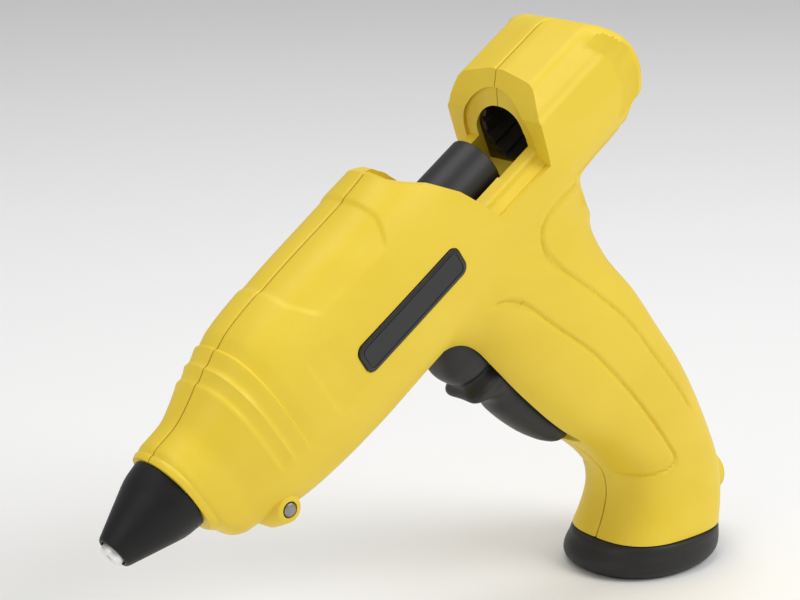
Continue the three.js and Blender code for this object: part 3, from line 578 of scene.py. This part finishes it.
def casing_shell(side, name):
    """One shell: half form less the hollow, then the openings cut and the inner walls that show joined on."""
    shell = outer_half(side, name)
    centre = on_axis(NOSE_BOSS[0], 0, NOSE_BOSS[1])
    combine(shell, nose_boss(side), "UNION")
    inlet = [CORD_X, 0, CORD_Z]
    bump = rod("bump", inlet, [1, 0, 0], (7.2, 5.9), -7.2, 0.8)
    half_space = mesh_box("half", (-60, side * SEAM, -60), (60, side * 30, 60))
    combine(bump, half_space, "INTERSECT")
    combine(shell, bump, "UNION")
    hollow = inner_half(side)
    combine(hollow, face_slab(WALL))
    combine(shell, hollow)
    combine(shell, window_cutter())
    combine(shell, cradle(side), "UNION")
    combine(shell, bulkhead(side), "UNION")
    combine(shell, trigger_slot())
    combine(shell, rod("nose_hole", TIP, ALONG, NOSE_HOLE_R, 15, 27.5))
    seat = rod("bore", TIP, ALONG, GUIDE_SEAT_R, 140, 215)
    combine(seat, face_slab(WALL))
    combine(shell, seat)
    combine(shell, arch_cutter(PANEL_HALF, PANEL_TOP, -1.5, 140, 1.0))
    combine(shell, arch_cutter(ARCH_HALF, ARCH_TOP, -9.3, 140, 4.0))
    combine(shell, rod("inlet", inlet, [1, 0, 0], CORD_R, -20, 20))
    combine(shell, rod("pin_hole", centre, ACROSS, PIN_HOLE_R, -20, 20))
    if side < 0:
        outline = badge_outline(-GAP, BADGE_CORNER_R + GAP, 8)
        combine(shell, axis_prism("badge_seat", outline, -24, -BADGE_FLOOR))
    else:
        for i in range(6):
            low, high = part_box(f"shell_screw_{i + 1}")
            middle = (np.array(low) + np.array(high)) / 2 / MM
            middle[1] = 0
            combine(shell, rod("screw_seat", middle, ACROSS, SCREW_SEAT_R, SCREW_SEAT_Y, 40))
    smooth_edges(shell, 34)
    return shell


def mesh_box(name, low, high):
    """Box by its corners."""
    low, high = np.minimum(low, high), np.maximum(low, high)
    ring = np.array([[low[0], low[1]], [high[0], low[1]], [high[0], high[1]], [low[0], high[1]]])
    return lofted(name, [np.column_stack([ring, np.full(4, z)]) for z in (low[2], high[2])])


# ---------- the other pieces that show ----------
def rounded_profile(corners, radii, points=6):
    """Closed outline whose corners become arcs: a quadratic curve from one tangent point to the next."""
    c = np.asarray(corners, float)
    before, after = np.roll(c, 1, axis=0), np.roll(c, -1, axis=0)
    out = []
    for p, a, b, r in zip(c, before, after, np.broadcast_to(radii, len(c))):
        pa = p + (a - p) / np.linalg.norm(a - p) * min(r, 0.45 * np.linalg.norm(a - p))
        pb = p + (b - p) / np.linalg.norm(b - p) * min(r, 0.45 * np.linalg.norm(b - p))
        t = np.linspace(0, 1, points)[:, None]
        out.append((1 - t)**2 * pa + 2 * t * (1 - t) * p + t**2 * pb)
    return np.vstack(out)


def nozzle_hood():
    """Turned silicone hood: a cone to a rounded shoulder, thin lip round the nozzle's end, hollow behind."""
    corners = [(3.75, 1.5), (4.7, 1.5), (10.3, 16.6), (11.0, 21.7), (8.2, 21.7), (8.2, 13.6), (4.3, 7.0),
               (3.75, 5.6)]
    return turned("nozzle_hood", rounded_profile(corners, [0.3, 1.1, 1.8, 0.35, 0.3, 1, 1, 0.8]), 120)


def nozzle_tip():
    """Turned nozzle: bright rounded end with its small bore, taper, thread stub behind."""
    corners = [(0.8, 0.0), (2.6, 0.0), (3.15, 0.7), (3.6, 6), (6.6, 12), (6.6, 17), (4.6, 17), (4.6, 28),
               (3.2, 28), (3.2, 16), (0.9, 11)]
    radii = [0.2, 0.6, 0.5, 0.5, 0.5, 0.3, 0.2, 0.3, 0.3, 0.5, 0.3]
    return turned("nozzle_tip", rounded_profile(corners, radii))


def feed_tube():
    """Feed tube with a rounded rear lip, slot for the gripper below and two ears for its pin."""
    corners = [(TUBE_BORE_R, TUBE_FRONT), (TUBE_R, TUBE_FRONT), (TUBE_R, TUBE_REAR), (TUBE_BORE_R, TUBE_REAR)]
    tube = turned("feed_tube", rounded_profile(corners, [0.3, 0.3, 0.7, 0.7]), 128)
    for side in (-1, 1):
        ear = axis_box("ear", (119, 127), (side * 3.5, side * 5.4), (-13.8, -6.6))
        combine(tube, ear, "UNION")
    combine(tube, axis_box("slot", (109, 128), (-3.5, 3.5), (-9, -3)))
    combine(tube, rod("bore", TIP, ALONG, TUBE_BORE_R, 85, 150))
    combine(tube, rod("pin_hole", on_axis(LEVER_PIVOT[0], 0, LEVER_PIVOT[1]), ACROSS, 1.4, -7, 7, 32))
    return tube


def axis_box(name, s, y, n):
    """Box on the axis frame by its limits along, across and above."""
    corners = [(s[0], n[0]), (s[1], n[0]), (s[1], n[1]), (s[0], n[1])]
    return axis_prism(name, corners, min(y), max(y))


def stick_guide():
    """Guide tube in the rear block: its bore swells and shrinks with the angle, giving lengthwise ribs."""
    ribs, segments = 12, 240
    a = full_turn(segments)
    rib = 0.8 * np.clip(np.cos(ribs * a) * 3 + 1.2, 0, 1)
    inner = 8.5 - rib
    front = WALL + GAP
    rings = []
    for r, s, on_face in ((inner, front + 0.3, 1), (9.0, front, 1), (GUIDE_R, front + 0.2, 1),
                          (GUIDE_R, GUIDE_REAR - 0.2, 0), (9.0, GUIDE_REAR, 0), (inner, GUIDE_REAR, 0)):
        r = np.broadcast_to(r, a.shape)
        face = on_face * np.interp(r * np.sin(a), FACE[:, 0], FACE[:, 1])
        rings.append(on_axis(s + face, r * np.cos(a), r * np.sin(a)))
    return closed_tube("rear_guide", rings)


TRIGGER_ROWS = np.array([      # n, front s, back s, half width, front hollow, squareness
    [-21.4, 108.4, 115.2, 6.6, 0.0, 3.2], [-24.0, 105.2, 117.9, 7.2, 0.0, 3.4],
    [-29.0, 102.4, 118.7, 7.4, 0.0, 3.4], [-35.0, 100.6, 119.2, 7.4, 0.0, 3.2],
    [-40.0, 100.2, 120.0, 7.4, 0.0, 3.0], [-43.5, 101.4, 120.5, 6.8, 0.0, 2.8],
    [-46.0, 103.0, 120.9, 5.2, 0.1, 2.6], [-47.4, 102.4, 121.1, 6.2, 0.8, 3.0],
    [-48.8, 101.0, 121.2, 7.4, 1.4, 3.6], [-50.6, 101.0, 121.4, 7.4, 1.4, 3.8],
    [-52.6, 104.0, 121.7, 7.4, 1.2, 3.2], [-55.4, 106.6, 122.1, 6.7, 0.3, 2.6],
    [-62.0, 108.2, 122.9, 6.5, 0.0, 2.5], [-70.0, 110.6, 123.8, 6.5, 0.0, 2.5],
    [-78.0, 114.0, 124.4, 6.3, 0.0, 2.4], [-82.0, 116.4, 124.5, 5.7, 0.0, 2.3],
    [-84.2, 118.4, 124.2, 4.8, 0.0, 2.2], [-85.3, 120.4, 124.0, 3.4, 0.0, 2.2],
    [-85.7, 121.6, 123.2, 1.6, 0.0, 2.2],
])


def trigger_lever():
    """
    Trigger: superellipse sections at heights n, read smoothly from a table. The front between the two edges is
    hollowed by a parabola across the width, and the waist under the lobe is pinched.
    """
    table = TRIGGER_ROWS[::-1]
    ease = (1 - np.cos(np.linspace(0, math.pi, 170))) / 2
    n = -85.7 + 64.3 * (0.35 * ease + 0.65 * np.linspace(0, 1, 170))
    front, back, half, hollow, square = (v[:, None] for v in reading(table, n).T)
    a = full_turn(112)[None, :]
    cosine, sine = np.cos(a), np.sin(a)
    y = half * signed_power(sine, 2 / square)
    depth = signed_power(cosine, 2 / square)
    s = (front + back) / 2 - (back - front) / 2 * depth
    s += hollow * (1 - (y / half)**2) * np.clip(depth, 0, 1)
    lever = lofted("trigger_lever", on_axis(s, y, n[:, None]))
    drive_s, drive_n = DRIVE_PIN
    for y in ((-5.5, -3.5), (3.5, 5.5)):
        combine(lever, axis_box("prong", (drive_s - 3.6, drive_s + 3.2), y, (-24, drive_n + 2.4)), "UNION")
    combine(lever, axis_box("fork", (drive_s - 1.7, drive_s + 1.7), (-6, 6), (drive_n - 1.9, drive_n + 4)))
    combine(lever, rod("pin_hole", on_axis(TRIGGER_PIVOT[0], 0, TRIGGER_PIVOT[1]), ACROSS, 1.9, -10, 10, 48))
    combine(lever, axis_box("pocket", (115.0, 130), (-5.0, 5.0), (-76, -33)))
    return lever


def foot_base():
    """Flared foot: superellipse rings by height, each with its own centre and half axes; a hollow spigot."""
    rows = np.array([
        [0, 0.2, 20.2, 17.5], [0.25, 0.25, 20.7, 17.9], [1.4, 0.6, 22.6, 19.4], [2.9, 1.0, 23.8, 20.3],
        [3.9, 1.3, 24.05, 20.45], [5.0, 1.6, 23.95, 20.4], [7.6, 2.5, 23.2, 19.9], [9.5, 2.9, 22.55, 19.5],
        [9.85, 3.0, 22.3, 19.3], [10.0, 3.0, 21.9, 18.9]])
    heights = np.concatenate([
        np.linspace(0, 0.25, 3)[:-1], np.linspace(0.25, 9.5, 40), [9.68, 9.85, 9.95, 10.0]])
    centre, long, wide = (v[:, None] for v in reading(rows, heights).T)
    a = full_turn(200)[None, :]
    power = 2 / FOOT_ROUND
    x = centre + long * signed_power(np.cos(a), power)
    y = wide * signed_power(np.sin(a), power)
    foot = lofted("foot_base", np.stack([x, y, np.broadcast_to(heights[:, None], x.shape)], axis=-1))
    for name, sizes, operation in (("spigot", ((8, 3.8, 16.2, 13.8), (15, 4.8, 15.4, 12.6)), "UNION"),
                                   ("hollow", ((7, 3.8, 13.4, 11.4), (18, 4.8, 12.8, 10.2)), "DIFFERENCE")):
        rings = [np.stack([c + p * np.cos(a[0]), q * np.sin(a[0]), np.full(a.shape[1], z)], axis=1)
                 for z, c, p, q in sizes]
        combine(foot, lofted(name, rings), operation)
    return foot


def badge_plate():
    """
    Plain label plate with rounded corners: its outline carried outwards, drawn in over the last steps for the
    bevelled edge, and a fine channel cut just inside that edge.
    """
    face, rings = BADGE_FACE, []
    for inset, depth in ((0.0, BADGE_FLOOR + GAP), (0.0, face - 0.35), (0.12, face - 0.12), (0.38, face)):
        outline = badge_outline(inset, BADGE_CORNER_R - inset, 12)
        rings.append(on_axis(outline[:, 0], -depth, outline[:, 1]))
    plate = lofted("badge_plate", rings)
    groove = [badge_outline(k, BADGE_CORNER_R - k * 0.8, 12) for k in (1.0, 1.3)]
    floor_at, clear = BADGE_FACE - 0.15, 18
    walls = ((groove[0], clear), (groove[0], floor_at), (groove[1], floor_at), (groove[1], clear))
    return combine(plate, closed_tube("channel", [on_axis(g[:, 0], -d, g[:, 1]) for g, d in walls]))


def gland_ring():
    """Rubber grommet in the cord inlet: a turned ring with a rounded outer lip, its axis along X."""
    profile = rounded_profile([(3.1, 0), (4.2, 0), (4.2, 6.2), (3.1, 6.2)], [0.2, 0.2, 0.45, 0.45])
    a = full_turn(72)
    r, h = profile[:, :1], profile[:, 1:]
    x = np.broadcast_to(CORD_X - 5.6 + h, (len(r), 72))
    return closed_tube("gland_ring", np.stack([x, r * np.cos(a), CORD_Z + r * np.sin(a)], axis=-1))


def pin_with_edges(name, node, radius, chamfer=0.35):
    """Round pin along Y over the node's width: circles whose radius drops at both ends for the chamfer."""
    low, high = node_box(node)
    centre = (low + high) / 2
    y = np.array([low[1], low[1] + chamfer, high[1] - chamfer, high[1]])
    r = np.array([radius - chamfer, radius, radius, radius - chamfer])
    return lofted(name, [circle_across(centre[0], h, centre[2], k, 56) for k, h in zip(r, y)])


def shell_screw(number):
    """Pan head screw: a dome whose height falls with the cosine of the angle, a shank, and a cross recess."""
    node = f"shell_screw_{number}"
    low, high = node_box(node)
    centre = (low + high) / 2
    arc = np.linspace(0, math.pi / 2, 8)[:-1]
    radius = np.concatenate([[1.0, 1.2, 1.2, 2.7], 2.7 * np.cos(arc)[1:] ** 0.5])
    height = np.concatenate([[low[1], low[1] + 0.5, 10.0, 10.0], 10.9 + 1.2 * np.sin(arc)[1:]])
    radius = np.insert(radius, 4, 2.7)
    height = np.insert(height, 4, 10.9)
    rings = [circle_across(centre[0], h, centre[2], r, 48) for r, h in zip(radius, height)]
    screw = lofted(f"screw_{number}", rings)
    for wide, tall in ((3.2, 0.7), (0.7, 3.2)):
        low_corner = (centre[0] - wide / 2, 11.3, centre[2] - tall / 2)
        combine(screw, mesh_box("recess", low_corner, (centre[0] + wide / 2, 13, centre[2] + tall / 2)))
    return screw


# ---------- materials ----------
class Nodes:
    """A new material's node tree, with short calls for the nodes used here."""

    def __init__(self, name):
        self.material = bpy.data.materials.new(name)
        self.material.use_nodes = True
        self.tree = self.material.node_tree
        self.shader = self.tree.nodes["Principled BSDF"]
        self.coordinates = self.tree.nodes.new("ShaderNodeTexCoord").outputs["Object"]

    def feed(self, socket, value):
        """Links another node's output to the socket, or sets the socket's value."""
        if isinstance(value, bpy.types.NodeSocket):
            self.tree.links.new(value, socket)
        else:
            socket.default_value = value

    def add(self, kind, inputs=(), **settings):
        """A node with its settings and its inputs, each a value or another node's output."""
        node = self.tree.nodes.new(kind)
        for key, value in settings.items():
            setattr(node, key, value)
        for key, value in dict(inputs).items():
            self.feed(node.inputs[key], value)
        return node

    def stretched(self, scale):
        """Object coordinates turned to the stick's axis and stretched by scale, for marks that run one way."""
        return self.add("ShaderNodeMapping", {"Vector": self.coordinates, "Rotation": (0, AXIS_TILT, 0),
                                              "Scale": scale}).outputs["Vector"]

    def noise(self, scale, detail=3.0, roughness=0.55, vector=None):
        """Noise of that many waves a metre, centred near 0.5."""
        inputs = {"Vector": vector or self.coordinates, "Scale": scale, "Detail": detail,
                  "Roughness": roughness}
        return self.add("ShaderNodeTexNoise", inputs).outputs["Fac"]

    def between(self, value, low, high, to_low=0.0, to_high=1.0):
        """Value from low..high mapped to to_low..to_high and held at the ends."""
        node = self.add("ShaderNodeMapRange", {"Value": value, "From Min": low, "From Max": high,
                                               "To Min": to_low, "To Max": to_high})
        return node.outputs["Result"]

    def blend(self, factor, first, second):
        """Mix of two colours."""
        node = self.add("ShaderNodeMix", data_type="RGBA")
        for index, value in ((0, factor), (6, first), (7, second)):
            self.feed(node.inputs[index], value)
        return node.outputs[2]

    def bump(self, heights):
        """Bumps one on another, each given as a height, its depth in metres and its strength."""
        normal = None
        for height, distance, strength in heights:
            inputs = {"Height": height, "Distance": distance, "Strength": strength}
            if normal is not None:
                inputs["Normal"] = normal
            normal = self.add("ShaderNodeBump", inputs).outputs["Normal"]
        return normal

    def finish(self, colour, roughness, normal=None, **constants):
        """Joins colour, roughness and normal to the shader and sets its constant sockets."""
        for key, value in (("Base Color", colour), ("Roughness", roughness), ("Normal", normal)):
            if value is not None:
                self.feed(self.shader.inputs[key], value)
        for key, value in constants.items():
            self.shader.inputs[key.replace("_", " ")].default_value = value
        return self.material


def moulded(name, base, shade, roughness, grain=2600.0, depth=0.00006, scuffs=0.5, light=None):
    """Moulded plastic: soft colour drift, fine spark-eroded grain, thin scuffs that only change the gloss."""
    m = Nodes(name)
    drift = m.between(m.noise(22.0, 4.0), 0.36, 0.66)
    colour = m.blend(drift, (*shade, 1), (*base, 1))
    flow = m.between(m.noise(90.0, 2.0, 0.4, m.stretched((0.35, 1.0, 1.0))), 0.4, 0.7, 0.0, 0.35)
    colour = m.blend(flow, colour, (*(light or base), 1))
    pores = m.noise(grain, 2.0, 0.6)
    scratch = m.between(m.noise(260.0, 6.0, 0.7, m.stretched((0.05, 1.0, 1.0))), 0.66, 0.74, 0.0, scuffs)
    rough = m.add("ShaderNodeMath", {0: m.between(pores, 0.3, 0.7, roughness - 0.05, roughness + 0.06),
                                     1: m.between(scratch, 0, 1, 0.0, -0.12)}, operation="ADD").outputs[0]
    waves = m.noise(60.0, 1.0, 0.3)
    surface = m.bump([(waves, 0.0002, 0.12), (pores, depth, 0.5)])
    return m.finish(colour, rough, surface, Specular_IOR_Level=0.42)


def silicone(name, base, dust):
    """Matte rubber with a faint bloom of dust, cloudy at two scales, and a fine pitted surface."""
    m = Nodes(name)
    bloom = m.between(m.noise(55.0, 6.0, 0.62), 0.45, 0.75, 0.0, 0.55)
    colour = m.blend(bloom, (*base, 1), (*dust, 1))
    pits = m.noise(1900.0, 3.0, 0.6)
    rough = m.between(m.noise(120.0, 4.0), 0.3, 0.7, 0.42, 0.56)
    return m.finish(colour, rough, m.bump([(pits, 0.00005, 0.5)]), Specular_IOR_Level=0.28)


def machined(name, base, tarnish, roughness, stretch=(1.0, 0.03, 0.03)):
    """Metal with fine tool marks drawn one way, cloudy tarnish and a little pitting."""
    m = Nodes(name)
    marks = m.noise(1400.0, 3.0, 0.6, m.stretched(stretch))
    cloud = m.between(m.noise(150.0, 5.0, 0.6), 0.42, 0.7, 0.0, 0.8)
    colour = m.blend(cloud, (*base, 1), (*tarnish, 1))
    rough = m.between(marks, 0.3, 0.7, roughness - 0.08, roughness + 0.1)
    return m.finish(colour, rough, m.bump([(marks, 0.00003, 0.6)]), Metallic=1.0)


def fired_ceramic(name, base, stain):
    """Chalky ceramic and wrapped film: speckle and brown heat stain."""
    m = Nodes(name)
    colour = m.blend(m.between(m.noise(90.0, 6.0, 0.65), 0.45, 0.72), (*base, 1), (*stain, 1))
    rough = m.between(m.noise(500.0), 0.3, 0.7, 0.62, 0.8)
    return m.finish(colour, rough, m.bump([(m.noise(900.0), 0.00008, 0.5)]))


def braided(name, base, dark):
    """Glass fibre sleeving: two crossed wave patterns raise and darken the weave."""
    m = Nodes(name)
    waves = []
    for turn in (0.6, -0.9):
        turned_to = m.add("ShaderNodeMapping", {"Vector": m.coordinates, "Rotation": (0.4, turn, 0.3)})
        wave = m.add("ShaderNodeTexWave", {"Vector": turned_to.outputs["Vector"], "Scale": 420.0})
        waves.append(wave.outputs["Fac"])
    weave = m.add("ShaderNodeMath", {0: waves[0], 1: waves[1]}, operation="MULTIPLY").outputs[0]
    return m.finish(m.blend(weave, (*dark, 1), (*base, 1)), 0.75, m.bump([(weave, 0.0001, 0.6)]))


def printed_label(name, base, rub_and_sheen):
    """Label film: near-black, glossy, with a faint orange-peel ripple and rubbed spots whose lighter colour is partly
    wear and partly a painted sheen.
    """
    m = Nodes(name)
    # rubbed spots: worn label, lightened towards the second colour, which is a painted sheen
    rub_and_sheen_mask = m.between(m.noise(140.0, 6.0, 0.7), 0.56, 0.7, 0.0, 0.6)
    colour = m.blend(rub_and_sheen_mask, (*base, 1), (*rub_and_sheen, 1))
    rough = m.between(m.noise(180.0, 5.0), 0.3, 0.7, 0.26, 0.4)
    return m.finish(colour, rough, m.bump([(m.noise(700.0, 1.0), 0.00003, 0.4)]))


YELLOW = (0.80, 0.585, 0.035)
BLACK = (0.013, 0.0125, 0.0125)
MATERIALS = {
    "shell_yellow": moulded("shell_yellow", YELLOW, (0.765, 0.545, 0.027), 0.47, light=(0.83, 0.625, 0.055)),
    "boot_rubber": silicone("boot_rubber", (0.006, 0.006, 0.0062), (0.012, 0.0115, 0.0115)),
    "nozzle_metal": machined("nozzle_metal", (0.88, 0.88, 0.87), (0.74, 0.73, 0.71), 0.44),
    "steel": machined("steel", (0.56, 0.57, 0.58), (0.40, 0.40, 0.40), 0.36),
    "spring_steel": machined("spring_steel", (0.42, 0.43, 0.45), (0.25, 0.24, 0.23), 0.34),
    "chamber_aluminium": machined("chamber_aluminium", (0.70, 0.71, 0.72), (0.52, 0.49, 0.44), 0.48,
                                  (1, 1, 1)),
    "heater_ceramic": fired_ceramic("heater_ceramic", (0.72, 0.67, 0.56), (0.36, 0.24, 0.12)),
    "sleeve_silicone": silicone("sleeve_silicone", (0.33, 0.045, 0.020), (0.42, 0.12, 0.08)),
    "carriage_black": moulded("carriage_black", (0.012, 0.012, 0.013), (0.008, 0.008, 0.009), 0.46,
                              3200, 0.00003),
    "mechanism_black": moulded("mechanism_black", (0.026, 0.026, 0.028), (0.018, 0.018, 0.019), 0.5),
    "trigger_black": moulded("trigger_black", BLACK, (0.014, 0.0137, 0.0137), 0.44, 3000, 0.00004),
    "nose_pin_steel": machined("nose_pin_steel", (0.36, 0.35, 0.33), (0.16, 0.14, 0.12), 0.5, (1, 1, 1)),
    "guide_black": moulded("guide_black", (0.030, 0.026, 0.016), (0.014, 0.012, 0.008), 0.42),
    "foot_black": moulded("foot_black", BLACK, (0.013, 0.0127, 0.0127), 0.48, 2400, 0.00006),
    # the badge's second colour is the rubbed spots' lighter tone: wear and painted sheen together
    "badge_black": printed_label("badge_black", (0.010, 0.0098, 0.0098), (0.030, 0.029, 0.028)),
    "terminal_plastic": moulded("terminal_plastic", (0.62, 0.60, 0.54), (0.52, 0.50, 0.43), 0.5),
    "lead_sleeve": braided("lead_sleeve", (0.62, 0.58, 0.48), (0.30, 0.27, 0.21)),
    "screw_steel": machined("screw_steel", (0.20, 0.20, 0.21), (0.10, 0.10, 0.10), 0.38, (1, 1, 1)),
}


# ---------- assembly ----------
def place(piece, body, slot, *nodes):
    """The piece rides with its body, takes its slot's finish and stands for its nodes."""
    piece.data.materials.clear()
    piece.data.materials.append(MATERIALS[slot])
    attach(piece, body)
    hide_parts(*nodes)


for item in frame["record"]["subparts"]:
    node = frame["nodes"][item["node"]]
    for material_slot in node.material_slots:
        material_slot.material = MATERIALS[item["material_slot"]]

place(casing_shell(-1, "left_casing"), "casing", "shell_yellow", "left_shell")
place(casing_shell(1, "right_casing"), "casing", "shell_yellow", "right_shell")
place(smooth_edges(nozzle_hood(), 40), "casing", "boot_rubber", "nozzle_boot")
place(smooth_edges(nozzle_tip(), 40), "casing", "nozzle_metal", "nozzle")
place(smooth_edges(feed_tube()), "feed", "carriage_black", "feed_carriage")
place(smooth_edges(stick_guide(), 50), "casing", "guide_black", "stick_guide")
place(smooth_edges(trigger_lever(), 42), "trigger", "trigger_black", "trigger")
place(smooth_edges(foot_base(), 30), "casing", "foot_black", "foot")
place(smooth_edges(badge_plate(), 30), "casing", "badge_black", "badge")
place(smooth_edges(gland_ring(), 50), "casing", "boot_rubber", "cord_gland")
place(smooth_edges(pin_with_edges("nose_cross_pin", "nose_pin", 1.8)), "casing", "nose_pin_steel", "nose_pin")
for index in range(1, 7):
    place(smooth_edges(shell_screw(index), 40), "casing", "screw_steel", f"shell_screw_{index}")


# ---------- floor, light and camera ----------
def floor():
    """Pale sweep: flat round the gun, curving up behind it in a quarter circle."""
    across, along = np.linspace(-2.4, 2.4, 9), np.linspace(-2.2, 4.2, 120)
    bend, radius = 1.6, 1.4
    turn = np.clip((along - bend) / radius, 0, math.pi / 2)
    forward = np.where(along < bend, along, bend + radius * np.sin(turn))
    rise = np.where(along < bend, 0, radius * (1 - np.cos(turn)))
    tail = np.clip(along - bend - radius * math.pi / 2, 0, None)
    azimuth = math.radians(40.4)
    ahead = np.array([math.sin(azimuth), math.cos(azimuth)])
    side = np.array([math.cos(azimuth), -math.sin(azimuth)])
    flat = forward[:, None, None] * ahead + across[None, :, None] * side
    height = np.broadcast_to((rise + tail)[:, None, None], (*flat.shape[:2], 1))
    points = np.concatenate([flat, height], axis=-1)
    sweep = mesh_object("studio_sweep", points.reshape(-1, 3) / MM, [grid_quads(len(along), len(across))])
    sweep.data.shade_smooth()
    paper = Nodes("paper_white")
    tone = paper.blend(paper.noise(3.0), (0.86, 0.86, 0.86, 1), (0.90, 0.90, 0.90, 1))
    sweep.data.materials.append(paper.finish(tone, 0.9))


def area_light(name, place_at, target, width, height, power):
    """Soft box at place_at, turned to face target."""
    data = bpy.data.lights.new(name, "AREA")
    data.shape, data.size, data.size_y, data.energy = "RECTANGLE", width, height, power
    light = in_scene(name, data)
    light.location = place_at
    light.rotation_euler = (Vector(target) - Vector(place_at)).to_track_quat("-Z", "Y").to_euler()


floor()
middle = (-0.08, 0.0, 0.09)
area_light("key_box", (0.45, -0.85, 0.90), middle, 0.7, 0.7, 8.8)
area_light("top_box", (-0.15, 0.15, 1.25), middle, 0.9, 0.7, 6.0)
area_light("fill_box", (-1.1, -0.1, 0.45), middle, 0.8, 0.6, 2.0)
world = bpy.data.worlds.new("studio_air")
bpy.context.scene.world = world
world.use_nodes = True
world.node_tree.nodes["Background"].inputs["Color"].default_value = (1.0, 1.0, 1.0, 1)
world.node_tree.nodes["Background"].inputs["Strength"].default_value = 0.42

camera_data = bpy.data.cameras.new("view")
camera_data.lens, camera_data.sensor_width = 99.0, 36.0
camera_data.clip_start = 0.02
camera = in_scene("view", camera_data)
camera.location = (-0.4481, -0.4179, 0.2499)
aim = Vector((-0.0926, 0.0, 0.0954)) - camera.location
camera.rotation_euler = aim.to_track_quat("-Z", "Y").to_euler()
bpy.context.scene.camera = camera
bpy.context.scene.view_settings.view_transform = "Standard"
